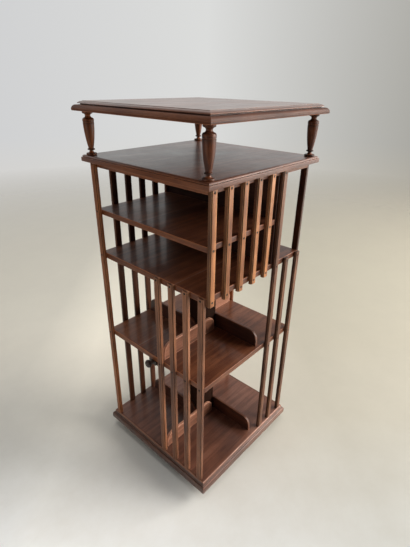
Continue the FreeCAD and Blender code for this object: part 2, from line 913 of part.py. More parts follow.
def slide_nodes():
    """What pulls out under the lower shelf."""
    return {"slide_bar": [slide_bar()], "slide_knob": [slide_knob()]}


# Write every node as its own file
os.makedirs("parts", exist_ok=True)
nodes = {**foot_nodes(), **case_nodes(), **slat_nodes(), **slide_nodes()}
for name, solids in nodes.items():
    shape = solids[0] if len(solids) == 1 else Part.makeCompound(solids)
    shape.exportStep(f"parts/{name}.step")
    box = shape.BoundBox
    print(name, len(shape.Solids), shape.isValid(), round(shape.Volume), [round(v, 1) for v in (
        box.XMin, box.YMin, box.ZMin, box.XMax, box.YMax, box.ZMax)])
print(len(nodes), "nodes")
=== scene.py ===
# %% [markdown]
# # A revolving bookcase, dressed for its portrait
# The object is a square, open bookcase of dark mahogany. Shelves and upright slats make one case,
# which turns on an iron spindle, and a small table top stands over it on four turned balusters.
# The solids come in from the CAD model, with their places fixed. This lesson gives them the
# surfaces of the real thing: worked edges, stepped slats, slotted screws, turned wood and polish.

import bpy
import bmesh
import math
from functools import partial
from mathutils import Matrix, Vector


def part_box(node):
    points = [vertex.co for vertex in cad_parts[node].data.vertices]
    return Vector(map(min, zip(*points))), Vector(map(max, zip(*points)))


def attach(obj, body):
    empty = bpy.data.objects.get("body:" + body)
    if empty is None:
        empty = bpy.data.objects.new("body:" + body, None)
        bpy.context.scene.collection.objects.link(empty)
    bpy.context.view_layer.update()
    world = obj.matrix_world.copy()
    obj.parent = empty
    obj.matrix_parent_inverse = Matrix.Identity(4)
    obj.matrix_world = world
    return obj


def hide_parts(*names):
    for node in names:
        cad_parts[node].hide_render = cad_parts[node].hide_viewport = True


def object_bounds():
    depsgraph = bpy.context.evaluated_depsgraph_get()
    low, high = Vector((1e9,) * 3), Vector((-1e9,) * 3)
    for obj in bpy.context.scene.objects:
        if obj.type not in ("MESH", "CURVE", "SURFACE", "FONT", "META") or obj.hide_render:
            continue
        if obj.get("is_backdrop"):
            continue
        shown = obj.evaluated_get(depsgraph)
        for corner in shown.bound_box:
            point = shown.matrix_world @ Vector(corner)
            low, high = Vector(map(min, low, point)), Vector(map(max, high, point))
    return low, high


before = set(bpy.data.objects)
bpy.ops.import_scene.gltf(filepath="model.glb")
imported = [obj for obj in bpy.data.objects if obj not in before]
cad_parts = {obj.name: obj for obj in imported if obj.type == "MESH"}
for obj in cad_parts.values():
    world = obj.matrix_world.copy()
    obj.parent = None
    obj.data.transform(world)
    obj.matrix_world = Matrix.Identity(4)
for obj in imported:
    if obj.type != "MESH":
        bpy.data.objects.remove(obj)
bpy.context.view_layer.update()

# %% [markdown]
# ## Heights and widths
# Every board of the case has a node in the CAD model, so its height can be asked for instead of
# written again. That way a change in the CAD model carries through to every piece made here. What
# stands on one of the case's four faces is made on the right face, the one towards the light, and
# then turned about the upright by its own face's angle.

# %% Heights and widths read from the solids


def rise(node):
    """Lowest and highest level of a CAD node."""
    low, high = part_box(node)
    return low.z, high.z


def rotation(degrees, axis="Z"):
    """The matrix of a turn about an axis through the origin."""
    return Matrix.Rotation(math.radians(degrees), 4, axis)


shelf_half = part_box("lower_shelf")[1].x
slat_low, slat_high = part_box("slat_right_long")
slat_wide, slat_thick = slat_high.x - slat_low.x, slat_high.y - slat_low.y
base_top, lower_shelf_top, case_top_top = (
    rise(node)[1] for node in ("base_board", "lower_shelf", "case_top"))
face_turns = {"right": 0, "back_right": 90, "back_left": 180, "left": -90}
print("shelf half width", round(shelf_half, 4))
print("slats", round(slat_wide, 4), "by", round(slat_thick, 4))

# %% [markdown]
# ## Camera
# The photograph looks down on the near corner from about standing eye level, close enough for a
# strong perspective. The camera's place and turn were solved from the corners of the boards. A
# camera's matrix holds its right, up and back directions, so building those three is all it takes.

# %% Camera
image_wide, image_high = 410, 547
focal_pixels = 390.5
sensor_long_side = 36.0
camera_place = Vector((-0.8507, -0.7766, 1.2343))
camera_azimuth, camera_elevation, camera_roll = (
    math.radians(angle) for angle in (-48.297, 26.333, 0.940))


def in_scene(name, data):
    """A new object that holds a mesh, a lamp or a camera, linked to the scene."""
    made = bpy.data.objects.new(name, data)
    bpy.context.scene.collection.objects.link(made)
    return made


back_level = Vector((math.sin(camera_azimuth), -math.cos(camera_azimuth), 0))
back = back_level * math.cos(camera_elevation) + Vector((0, 0, math.sin(camera_elevation)))
right_level = Vector((0, 0, 1)).cross(back).normalized()
up_level = back.cross(right_level)
right = right_level * math.cos(camera_roll) + up_level * math.sin(camera_roll)
up = up_level * math.cos(camera_roll) - right_level * math.sin(camera_roll)

lens = bpy.data.cameras.new("portrait_camera")
lens.sensor_width = sensor_long_side
lens.lens = focal_pixels / max(image_wide, image_high) * sensor_long_side
lens.clip_start, lens.clip_end = 0.05, 60
camera = in_scene("portrait_camera", lens)
camera_turn = Matrix((right, up, back)).transposed().to_4x4()
camera.matrix_world = Matrix.Translation(camera_place) @ camera_turn
bpy.context.scene.camera = camera
bpy.context.scene.view_settings.view_transform = "Standard"
print("lens", round(lens.lens, 2), "mm")

# %% [markdown]
# ## Node helpers
# Shader trees and Geometry Nodes trees are built the same way: make a node, set its options, and
# give each input either a plain value or the output of another node. One helper does all three and
# hands back the output that the next node needs, which keeps the trees below short enough to read.

# %% Helpers for node trees


def feed(node, inputs):
    """Gives each input a plain value, or a link where the value is another node's output."""
    for name, value in inputs.items():
        if isinstance(value, bpy.types.NodeSocket):
            node.id_data.links.new(value, node.inputs[name])
        else:
            node.inputs[name].default_value = value


def put(tree, kind, inputs=None, give=0, **options):
    """Adds a node, sets its options, feeds its inputs and gives back one of its outputs."""
    node = tree.nodes.new(kind)
    for name, value in options.items():
        setattr(node, name, value)
    feed(node, inputs or {})
    return node.outputs[give] if node.outputs else node


def calc(tree, operation, *values):
    """One sum: ADD, MULTIPLY and so on."""
    return put(tree, "ShaderNodeMath", dict(enumerate(values)), operation=operation)


def ramp(tree, amount, stops):
    """A colour for each level of amount; stops are (level, colour)."""
    given_colour = put(tree, "ShaderNodeValToRGB", {"Fac": amount})
    elements = given_colour.node.color_ramp.elements
    while len(elements) < len(stops):
        elements.new(0.5)
    for element, (level, colour) in zip(elements, stops):
        element.position = level
        element.color = (*colour, 1)
    return given_colour


def spread(tree, amount, low, high, new_low=0.0, new_high=1.0):
    """Stretches low..high to new_low..new_high and clamps it."""
    return put(tree, "ShaderNodeMapRange", {
        "Value": amount, "From Min": low, "From Max": high, "To Min": new_low, "To Max": new_high})


def blended(tree, amount, first, second, blend="MIX"):
    """Mixes two colours. The Mix node takes colours at its inputs 6 and 7 and gives them at 2."""
    return put(tree, "ShaderNodeMix", {0: amount, 6: first, 7: second}, 2,
               data_type="RGBA", blend_type=blend)


def noise(tree, vector, scale, detail=3.0, rough=0.55, warp=0.0):
    """A cloudy pattern from 0 to 1."""
    return put(tree, "ShaderNodeTexNoise", {
        "Vector": vector, "Scale": scale, "Detail": detail, "Roughness": rough,
        "Distortion": warp}, "Fac")


def stretched(tree, space, along, moved=(0, 0, 0), tilt=(0, 0, 0)):
    """A space squeezed along Z, which draws a pattern on it out into streaks."""
    return put(tree, "ShaderNodeMapping", {
        "Vector": space, "Scale": (1, 1, along), "Location": moved, "Rotation": tilt})


def new_material(name):
    """A material that holds only a Principled shader and its output."""
    material = bpy.data.materials.new(name)
    material.use_nodes = True
    tree = material.node_tree
    tree.nodes.clear()
    surface = put(tree, "ShaderNodeBsdfPrincipled")
    put(tree, "ShaderNodeOutputMaterial", {"Surface": surface})
    return material, tree, surface.node


# %% [markdown]
# ## Polished mahogany
# Mahogany is a plain red-brown wood. What one sees is, from large to small: broad bands of lighter
# and darker heartwood, the rings of the tree cut lengthwise, fine fibres, and short open pores that
# hold dark polish. All of them run along the grain, so one space serves every layer: the object's
# own coordinates, turned until the grain lies along Z, and then squeezed along it.
# The attribute "board" holds another number on each board, which moves it to another part of the
# tree and makes it a little lighter or darker. A photograph of wood could be wrapped round each
# board instead, but it would repeat itself and end at the edges, and this grain runs right through.

# %% The figure of the wood
grains = {
    "x": (1, 0, 0), "y": (0, 1, 0), "z": (0, 0, 1), "rising": (1, 1, 0), "falling": (1, -1, 0)}
step_in_tree = 3.1, 1.7, 9.3
board_tone = 0.16
band_share, ring_share, cloud_share, fibre_share = 0.30, 0.09, 0.44, 0.24


def grain_space(tree, place, grain, board):
    """Coordinates with the grain along Z, in another part of the tree for each board."""
    upright = Vector(grains[grain]).rotation_difference(Vector((0, 0, 1))).to_euler()
    turned = put(tree, "ShaderNodeMapping", {"Vector": place, "Rotation": upright})
    shift = put(tree, "ShaderNodeCombineXYZ", {
        axis: calc(tree, "MULTIPLY", board, step) for axis, step in enumerate(step_in_tree)})
    return put(tree, "ShaderNodeVectorMath", {0: turned, 1: shift}, operation="ADD")


def figured(tree, place, space, board):
    """The whole figure of the wood, and its fibres and pores alone."""
    clouds = noise(tree, place, scale=5.0, rough=0.6)
    bands = noise(tree, stretched(tree, space, along=0.13), scale=17.0, warp=0.8)
    rings = put(tree, "ShaderNodeTexWave", {
        "Vector": stretched(tree, space, along=0.07, moved=(0.11, 0.16, 0), tilt=(0.03, 0.05, 0)),
        "Scale": 15.0, "Distortion": 11.0, "Detail": 3.0, "Detail Scale": 1.3,
        "Detail Roughness": 0.65}, "Fac", wave_type="RINGS", rings_direction="Z")
    fibres = noise(tree, stretched(tree, space, along=0.022), scale=420.0, detail=4.0, rough=0.65)
    specks = noise(tree, stretched(tree, space, along=0.045), scale=1500.0, detail=1.0, rough=0.4)
    pores = spread(tree, specks, 0.30, 0.40, 1.0, 0.0)
    figure = calc(tree, "MULTIPLY_ADD", board, board_tone, -board_tone / 2)
    for layer, share in ((bands, band_share), (rings, ring_share), (clouds, cloud_share),
                         (fibres, fibre_share)):
        figure = calc(tree, "MULTIPLY_ADD", layer, share, figure)
    return figure, fibres, pores


# %% [markdown]
# ## Age on the polish, with painted shade and glints
# The wear attribute is one on the arrises, where hands and dust cloths have thinned the polish,
# and minus one in the inner corners, which it darkens nearly to black: partly old wax and dust,
# partly painted shade in the creases. A wide shelf is glued up from two planks, so its finish can
# change to another part of the tree at a joint, and draw a fine pale line there as a painted glint
# on the seam. Dust lies only on what faces up.

# %% Rubs, grime and painted shade, a painted seam glint, and dust
rub_paler = 1.7
# The dark in the inner corners stands for old wax and dust and for painted shade in the creases.
grime_and_shade_share, grime_and_shade_colour = 0.85, (0.008, 0.004, 0.003, 1)
plank_step = 0.43
# The fine pale line along a plank seam is a painted glint.
seam_glint_half, seam_glint_end, seam_glint_share, seam_glint_colour = 0.0004, 0.0012, 0.7, (0.22, 0.17, 0.15, 1)
dust_colour = 0.20, 0.17, 0.15, 1


def aged_and_shaded(tree, colour, light, worn, space):
    """The colour with its rubs, and with grime and painted shade in the inner corners, and how much
    of both lies on each spot.
    """
    patches = noise(tree, stretched(tree, space, along=0.5), scale=60.0)
    rubbed = calc(tree, "MULTIPLY", calc(tree, "MAXIMUM", worn, 0.0),
                  spread(tree, patches, 0.3, 0.7, 0.3, 0.9))
    rubbed_colour = tuple(min(1, value * rub_paler) for value in light)
    colour = blended(tree, rubbed, colour, (*rubbed_colour, 1))
    grime_and_shade = calc(tree, "MULTIPLY", calc(tree, "MINIMUM", worn, 0.0), -grime_and_shade_share)
    return blended(tree, grime_and_shade, colour, grime_and_shade_colour), calc(tree, "ADD", rubbed, grime_and_shade)


def with_seam_glint(tree, colour, from_joint):
    """The colour with a painted glint, a fine pale line along the seam where two planks meet."""
    glint = spread(tree, calc(tree, "ABSOLUTE", from_joint), seam_glint_half, seam_glint_end, seam_glint_share, 0.0)
    return blended(tree, glint, colour, seam_glint_colour)


def dusted(tree, colour, place, dust):
    """The colour with a thin, uneven film of dust on what faces up."""
    normal = put(tree, "ShaderNodeNewGeometry", give="Normal")
    up_facing = put(tree, "ShaderNodeSeparateXYZ", {0: normal}, 2)
    uneven = noise(tree, place, scale=9.0, detail=4.0, rough=0.6)
    film = calc(tree, "MULTIPLY", spread(tree, up_facing, 0.6, 1.0, 0.0, dust),
                spread(tree, uneven, 0.35, 0.65, 0.5, 1.0))
    return blended(tree, film, colour, dust_colour)


# %% [markdown]
# ## The finishes of this bookcase
# The case is all one wood, and most of its changes of tone by place are painted light and shade.
# The tops have faded and carry the thickest polish. The boards' edges that face left and right get
# a warmer tone with less polish, as painted light. The slats show the reddest wood, in lit and
# shaded copies of one tone: honey as painted light on the upper slats of the right face, paler as a
# painted sheen on the lower slats of the left face, duller as painted shade on the long and lower
# slats of the right face, and dark as painted shade on the back-left face and on the corner slat of
# the back-right face. The stops that run along X get a lit tone and the others a dark one, the base
# is lighter on its top and its strips that face front and back and darker on those that face left
# and right, the panel is nearly black and the columns are dark, all as painted light and shade. The
# foot and the undersides never had any polish.
# A table keeps this readable, with one row for each tone of the wood. It gives the colours of the
# darkest pores, of the middle and of the palest bands, all in thousandths, then the clear coat,
# which is the french polish, the coat's roughness, the wood's roughness, and how much it shines.

# %% Tones of the wood
tones = {
    "top": ((34, 10, 6), (110, 34, 16), (220, 84, 44), 0.75, 0.24, 0.42, 0.25),
    # Painted light: a warmer tone with less polish for the edges that face left and right.
    "edge": ((42, 10, 4), (150, 44, 14), (300, 105, 40), 0.12, 0.25, 0.42, 0.25),
    "frame": ((18, 5, 3), (82, 25, 11), (180, 66, 30), 0.1, 0.2, 0.5, 0.12),
    "board": ((18, 4, 2), (96, 28, 11), (210, 76, 34), 0.38, 0.12, 0.45, 0.25),
    # Painted light and shade: the base is lighter on its top and its strips that face front and
    # back, darker on those that face left and right.
    "base": ((40, 14, 9), (145, 56, 33), (260, 122, 78), 0.65, 0.25, 0.42, 0.25),
    "dark_base": ((26, 8, 4), (105, 38, 19), (190, 80, 45), 0.5, 0.25, 0.42, 0.25),
    # Painted shade: the upright panel deep inside is nearly black.
    "panel": ((6, 2, 1), (24, 8, 5), (60, 22, 12), 0.0, 0.3, 0.6, 0.12),
    "slat": ((85, 23, 8), (300, 102, 34), (500, 205, 80), 0.1, 0.3, 0.42, 0.25),
    # Lit and shaded copies of the slat tone: painted light, a painted sheen, painted shade.
    "rubbed_slat": ((130, 40, 13), (460, 190, 70), (660, 330, 130), 0.1, 0.3, 0.42, 0.25),
    "worn_slat": ((78, 26, 12), (265, 108, 50), (450, 210, 120), 0.1, 0.3, 0.42, 0.25),
    "dulled_slat": ((45, 14, 7), (165, 66, 31), (310, 140, 72), 0.1, 0.3, 0.42, 0.25),
    "shaded_slat": ((30, 8, 4), (105, 34, 14), (220, 85, 38), 0.1, 0.3, 0.42, 0.25),
    "turned": ((10, 2, 1), (64, 14, 3), (190, 52, 11), 0.12, 0.16, 0.45, 0.25),
    # Painted light and shade: a lit tone and a dark tone for the book stops.
    "stop": ((80, 27, 15), (310, 135, 80), (480, 240, 155), 0.2, 0.25, 0.42, 0.25),
    "dark_stop": ((12, 3, 2), (55, 16, 8), (130, 45, 20), 0.5, 0.2, 0.42, 0.25),
    # Painted shade: the columns deep inside are dark and hardly shine.
    "column": ((16, 5, 3), (80, 27, 12), (160, 62, 30), 0.0, 0.3, 0.6, 0.03),
    "slide": ((12, 6, 4), (36, 16, 10), (70, 34, 22), 0.5, 0.2, 0.42, 0.25),
    "foot": ((30, 14, 9), (80, 40, 24), (140, 78, 48), 0.0, 0.3, 0.7, 0.25),
    "bare": ((30, 14, 9), (80, 40, 24), (140, 78, 48), 0.0, 0.3, 0.7, 0.1),
}
print(len(tones), "tones")

# %% [markdown]
# ## The whole finish
# Here the layers come together in the order in which they lie on the wood: the figure coloured by
# its tone, the dark pores, the age with its grime and painted shade, the seam's painted glint and
# the dust. Two bumps follow, the open grain and a slow ripple. The ripple is what breaks up the
# reflections on a surface polished by hand. Numbers that are the same all over go straight to the
# shader, because an export can lose a linked one.

# %% Wood finish
dark_level, middle_level, light_level = 0.32, 0.53, 0.74
pore_share, wear_dulls = 0.5, 0.2
fibre_height, pore_depth, grain_relief, ripple_relief = 0.5, -0.8, 0.00012, 0.0006


def wood(name, grain, tone, dust=0.0, joint=None):
    """Polished mahogany; grain names the way that its fibres run. Two planks meet at y = joint."""
    *colours, coat, coat_roughness, roughness, shine = tones[tone]
    dark, middle, light = (tuple(value / 1000 for value in colour) for colour in colours)
    material, tree, shader = new_material(name)
    place = put(tree, "ShaderNodeTexCoord", give="Object")
    board, worn = (put(tree, "ShaderNodeAttribute", give="Fac", attribute_name=label)
                   for label in ("board", "worn"))
    if joint is not None:
        level_y = put(tree, "ShaderNodeSeparateXYZ", {0: place}, 1)
        from_joint = calc(tree, "SUBTRACT", level_y, joint)
        second_plank = calc(tree, "GREATER_THAN", from_joint, 0.0)
        board = calc(tree, "MULTIPLY_ADD", second_plank, plank_step, board)
    space = grain_space(tree, place, grain, board)
    figure, fibres, pores = figured(tree, place, space, board)
    colour = ramp(tree, figure, [
        (dark_level, dark), (middle_level, middle), (light_level, light)])
    colour = blended(tree, calc(tree, "MULTIPLY", pores, pore_share), colour, (*dark, 1))
    colour, rubs_and_shade = aged_and_shaded(tree, colour, light, worn, space)
    if joint is not None:
        colour = with_seam_glint(tree, colour, from_joint)
    if dust:
        colour = dusted(tree, colour, place, dust)
    patchy = noise(tree, place, scale=14.0, detail=4.0, rough=0.6)
    dull = spread(tree, patchy, 0.3, 0.7, roughness - 0.06, roughness + 0.08)
    height = calc(tree, "MULTIPLY_ADD", pores, pore_depth,
                  calc(tree, "MULTIPLY", fibres, fibre_height))
    open_grain = put(tree, "ShaderNodeBump", {
        "Height": height, "Strength": 0.35, "Distance": grain_relief})
    ripple = put(tree, "ShaderNodeBump", {
        "Height": noise(tree, place, scale=38.0, detail=2.0), "Strength": 0.25,
        "Distance": ripple_relief, "Normal": open_grain})
    feed(shader, {
        "Base Color": colour, "Roughness": calc(tree, "MULTIPLY_ADD", rubs_and_shade, wear_dulls, dull),
        "Normal": ripple, "Coat Normal": ripple, "Specular IOR Level": shine,
        "Coat Weight": coat, "Coat Roughness": coat_roughness})
    return material


# %% [markdown]
# Each finish is one tone laid along one grain. The top of the table also has some dust, and the
# three shelves have their plank joint at some y. The two bearers of the foot cross on the
# diagonals, so they have a grain of their own.

# %% The wood finishes, each with its grain, its tone, its dust and its plank joint
finishes = {name: wood(name, *choice) for name, choice in {
    "edge_wood": ("y", "edge"), "top_wood_x": ("x", "top"),
    "table_wood_x": ("x", "top", 0.4), "table_wood_y": ("y", "top", 0.4),
    "frame_wood_x": ("x", "frame"), "frame_wood_y": ("y", "frame"),
    "lower_shelf_finish": ("x", "board", 0.0, 0.071),
    "middle_shelf_finish": ("x", "board", 0.0, -0.106),
    "half_shelf_finish": ("x", "board", 0.0, 0.033), "board_wood_x": ("x", "board"),
    "base_wood_x": ("x", "base"), "base_wood_y": ("y", "dark_base"),
    "panel_wood": ("y", "panel"), "column_wood": ("z", "column"),
    "stop_wood_x": ("x", "stop"), "stop_wood_y": ("y", "dark_stop"),
    "slat_wood": ("z", "slat"), "rubbed_slat_wood": ("z", "rubbed_slat"),
    "worn_slat_wood": ("z", "worn_slat"), "dulled_slat_wood": ("z", "dulled_slat"),
    "shaded_slat_wood": ("z", "shaded_slat"), "turned_wood": ("z", "turned"),
    "slide_wood": ("x", "slide"), "foot_wood_rising": ("rising", "foot"),
    "foot_wood_falling": ("falling", "foot"), "bare_underside": ("x", "bare")}.items()}
print(len(finishes), "wood finishes")

# %% [markdown]
# ## Metals
# The screws are dull, almost black steel. The spindle is turned and oiled, the plates are black
# cast iron, and the bush is brass. Metals get nearly all their look from reflections, so their
# colour is plain, and the detail goes into the roughness and into a skin of fine marks: round the
# piece where it was turned, and sandy where it was cast.

# %% Metal finishes


def metal(name, colour, stain, roughness, mark_depth, is_turned=False):
    """A metal with stains, and with either turning marks or a cast skin."""
    material, tree, shader = new_material(name)
    place = put(tree, "ShaderNodeTexCoord", give="Object")
    blotch = noise(tree, place, scale=160.0, detail=5.0, rough=0.6)
    squeeze, mark_scale = (90, 30.0) if is_turned else (1, 900.0)
    marks = noise(tree, stretched(tree, place, squeeze), mark_scale, rough=0.5)
    feed(shader, {
        "Base Color": blended(tree, spread(tree, blotch, 0.4, 0.65), (*colour, 1), (*stain, 1)),
        "Roughness": spread(tree, blotch, 0.3, 0.7, roughness - 0.08, roughness + 0.15),
        "Normal": put(tree, "ShaderNodeBump", {
            "Height": marks, "Strength": 0.3, "Distance": mark_depth}),
        "Metallic": 1.0})
    return material


for name, *numbers in (
        ("screw_steel", (0.06, 0.052, 0.045), (0.025, 0.018, 0.014), 0.45, 0.0001),
        ("spindle_steel", (0.42, 0.41, 0.39), (0.20, 0.17, 0.13), 0.30, 0.0001, True),
        ("iron_plate", (0.055, 0.054, 0.053), (0.10, 0.06, 0.04), 0.60, 0.0003),
        ("bush_brass", (0.55, 0.38, 0.14), (0.30, 0.18, 0.07), 0.35, 0.0001, True)):
    finishes[name] = metal(name, *numbers)
print(len(finishes), "finishes with the metals")

# %% [markdown]
# ## Meshes from outlines
# Nearly every piece here is either a flat board with a worked edge or a bar with one section. Both
# are stacks of rings: a ring is a rounded rectangle or a section, and each level of the stack moves
# it in or out. The corners of an outline get their values of wear and shade here. A board's edge
# runs clockwise, so a small outer corner gets one and an inner corner minus one, and the wood
# finish turns them into rubs, and into grime with painted shade.

# %% Helpers for outlines
corner_steps = 6
widest_rub = 0.0012
fine_cut, longest_cut_share = 0.0005, 0.35
least_softened, least_worn = math.radians(25), math.radians(12)


def quarter(start, corner, end):
    """Points of a quarter curve from start to end that bends at corner, start left out."""
    points = []
    for step in range(1, corner_steps + 1):
        t = math.pi / 2 * step / corner_steps
        a, b = 1 - math.cos(t), math.sin(t)
        points.append(tuple(
            s + (c - s) * b + (e - c) * a for s, c, e in zip(start, corner, end)))
    return points


def outline(shares, width, thickness):
    """An edge outline as (distance in from the face, height). Shares as in the CAD model's tables:
    two numbers are a straight line to a point, four are a rounded corner and the point after it."""
    scaled = [tuple((1 - v) * width if k % 2 == 0 else v * thickness for k, v in enumerate(point))
              for point in shares]
    points = [scaled[0]]
    for point in scaled[1:]:
        points += [point] if len(point) == 2 else quarter(points[-1], point[:2], point[2:])
    return points


def bends(points, closed):
    """Each point with the ways into it and out of it, and the bend; none at a loose end."""
    count = len(points)
    for k, here in enumerate(points):
        into = Vector(here) - Vector(points[k - 1])
        out = Vector(points[(k + 1) % count]) - Vector(here)
        loose = not closed and k in (0, count - 1)
        yield here, into, out, into.angle(out) if into.length and out.length and not loose else 0


def softened(points, cut=fine_cut, closed=False):
    """The outline with each sharp corner cut to a short round of three points."""
    made = []
    for here, into, out, bend in bends(points, closed):
        if bend < least_softened:
            made.append(here)
            continue
        corner = Vector(here)
        reach = min(cut, min(into.length, out.length) * longest_cut_share)
        first, last = corner - into.normalized() * reach, corner + out.normalized() * reach
        middle = (first + last + corner * 2) / 4
        made += [tuple(first), tuple(middle), tuple(last)]
    return made


def corner_wear_and_shade(points, closed=False):
    """1 on each small corner that bends clockwise, -1 on each that bends back, 0 elsewhere."""
    values = []
    for here, into, out, bend in bends(points, closed):
        if bend < least_worn:
            values.append(0.0)
        elif into.x * out.y - into.y * out.x < 0:
            values.append(1.0 if max(into.length, out.length) < widest_rub else 0.0)
        else:
            values.append(-1.0)
    return values


# %% [markdown]
# ## Meshes and their dressing
# A mesh is a list of points and a list of faces, each face naming its points anticlockwise as seen
# from outside. For a stack of rings both lists follow a rule, so they are written out by a loop.
# That gives closed and even meshes, and the same ones each time. The last helper here dresses a
# piece: it gives the piece its material and what it moves with, and hides the solids that it
# stands for.

# %% Helpers for meshes


def walls(ring, levels, first=0):
    """The faces between stacked rings of points that run anticlockwise seen from above."""
    return [(low + k, low + (k + 1) % ring, low + ring + (k + 1) % ring, low + ring + k)
            for low in range(first, first + (levels - 1) * ring, ring) for k in range(ring)]


def closed_stack(ring, levels, first=0):
    """The walls and both end faces of a stack of rings."""
    last = first + (levels - 1) * ring
    return walls(ring, levels, first) + [
        tuple(range(first + ring - 1, first - 1, -1)), tuple(range(last, last + ring))]


def mark(mesh, label, values):
    """Stores one number on each point of a mesh."""
    mesh.attributes.new(label, "FLOAT", "POINT").data.foreach_set("value", values)


def mesh_object(name, points, faces, worn=None, board=0.0):
    """A mesh object at the origin with the attributes that the wood finish reads. Board is one
    number, or a list of them for the points, or None where the copies get their own numbers."""
    mesh = bpy.data.meshes.new(name)
    mesh.from_pydata([tuple(point) for point in points], [], faces)
    mesh.validate()
    mark(mesh, "worn", worn or [0.0] * len(points))
    if board is not None:
        mark(mesh, "board", board if isinstance(board, list) else [board] * len(points))
    return in_scene(name, mesh)


def outwards(shape):
    """Turns all faces of a bmesh outwards."""
    bmesh.ops.recalc_face_normals(shape, faces=shape.faces)


def smooth(made, angle=32):
    """Rounded shading, except over edges sharper than angle."""
    made.data.shade_smooth()
    made.data.set_sharp_from_angle(angle=math.radians(angle))
    return made


def dress(made, material, body, slot, *nodes):
    """Gives a finished piece its material and body and hides the CAD nodes that it stands for; slot
    is not used.
    """
    if material:
        made.data.materials.clear()
        made.data.materials.append(material)
    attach(made, body)
    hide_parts(*nodes)
    print(made.name, len(made.data.polygons), "faces, for", len(nodes), "nodes")
    return made


# %% [markdown]
# ## Boards with a worked edge
# A moulding is planed along all four edges of a board, and the four runs meet in mitres at the
# corners. So each point of the outline becomes one ring round the board, and the rings are joined
# into walls. The corners are rounded by a fraction of a millimetre, as no real arris is sharp.

# %% Ringed boards
flat_margin = 0.004


def ringed_board(name, low, high, edge, corner_round, board):
    """A board from low to high whose edge follows an outline of (in, up) points."""
    centre = (Vector(low) + Vector(high)) / 2
    half = (Vector(high) - Vector(low)) / 2
    edge = softened(edge)
    inner = max(inward for inward, height in edge) + flat_margin
    worn = [0.0, *corner_wear_and_shade(edge), 0.0]
    edge = [(inner, edge[0][1]), *edge, (inner, edge[-1][1])]
    steps = corner_steps // 2
    points, values = [], []
    for (inward, height), value in zip(edge, worn):
        for quadrant, (sign_x, sign_y) in enumerate(((1, 1), (-1, 1), (-1, -1), (1, -1))):
            for step in range(steps + 1):
                angle = math.pi / 2 * (quadrant + step / steps)
                points.append((
                    centre.x + sign_x * (half.x - inward - corner_round)
                    + corner_round * math.cos(angle),
                    centre.y + sign_y * (half.y - inward - corner_round)
                    + corner_round * math.sin(angle),
                    low[2] + height))
                values.append(value)
    faces = closed_stack(4 * (steps + 1), len(edge))
    return smooth(mesh_object(name, points, faces, values, board))


def plain_edge(thickness, arris):
    """The outline of a plain board with rounded arrises."""
    lower = quarter((arris, 0), (0, 0), (0, arris))
    upper = quarter((0, thickness - arris), (0, thickness), (arris, thickness))
    return [(arris, 0)] + lower + [(0, thickness - arris)] + upper


# %% [markdown]
# The plain boards are the two full shelves, the half shelf, the board under the case top and the
# upright panel. Each has its own number in the tree, and the four lying boards get a warmer finish
# with less polish on the edges that face left and right, as painted light. The panel stands on
# edge, so it is made lying down and turned up in its mesh.

# %% Plain boards
side_facing = 0.5


def painted(made, names, choose):
    """Gives a piece several finishes; choose says which one a face gets."""
    for name in names:
        made.data.materials.append(finishes[name])
    for face in made.data.polygons:
        face.material_index = choose(face)
    return made


for name, finish, arris, number in (
        ("lower_shelf", "lower_shelf_finish", 0.0014, 0.83),
        ("middle_shelf", "middle_shelf_finish", 0.0014, 0.37),
        ("half_shelf", "half_shelf_finish", 0.0012, 0.62),
        ("upper_board", "board_wood_x", 0.0006, 0.85)):
    low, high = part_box(name)
    edge = plain_edge(high.z - low.z, arris)
    made = ringed_board(name + "_wood", low, high, edge, 0.0015, number)
    # The edges that face left and right get the warmer finish, as painted light.
    painted(made, (finish, "edge_wood"), lambda face: int(abs(face.normal.x) > side_facing))
    dress(made, None, "case", "board_wood", name)

low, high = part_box("back_panel")
half_tall, thick = (high.z - low.z) / 2, high.x - low.x
panel = ringed_board("back_panel_wood", (-half_tall, low.y, 0), (half_tall, high.y, thick),
                     plain_edge(thick, 0.0005), 0.0005, 0.48)
stand_up = Matrix.Translation((low.x, 0, (low.z + high.z) / 2)) @ rotation(90, "Y")
panel.data.transform(stand_up)
dress(panel, finishes["panel_wood"], "case", "board_wood", "back_panel")

# %% [markdown]
# The base board and the case top have an ovolo over a small step, and the table board has a thumb
# mould with an undercut. The tables of shares are the ones that the solids were made from. The
# mouldings are strips with their own grain along each edge, so that no end grain shows, and the
# wide underside stays bare.

# %% Moulded boards
base_edge_shares = [
    (0.93, 0.00), (1.00, 0.03), (1.00, 0.38), (1.00, 0.62, 0.62, 0.63), (0.48, 0.63), (0.48, 0.69),
    (0.24, 0.71, 0.24, 0.92), (0.24, 1.00, 0.00, 1.00)]
case_top_edge_shares = [
    (0.89, 0.00), (1.00, 0.04), (1.00, 0.61), (0.91, 0.65), (0.51, 0.65), (0.51, 0.72),
    (0.66, 0.72), (0.66, 1.00, 0.00, 1.00)]
table_board_edge_shares = [
    (0.50, 0.00), (0.50, 0.25), (1.00, 0.31), (1.00, 0.40), (0.84, 0.84, 0.12, 0.92),
    (0.12, 1.00), (0.00, 1.00)]
down_facing = -0.99


def strip_or_middle(face, strip_starts):
    """0 for the middle and the strips along X, 1 for the strips along Y, 2 for the underside."""
    x, y = abs(face.center.x), abs(face.center.y)
    if face.normal.z < down_facing and len(face.vertices) > 4:
        return 2
    return int(max(x, y) > strip_starts and x > y)


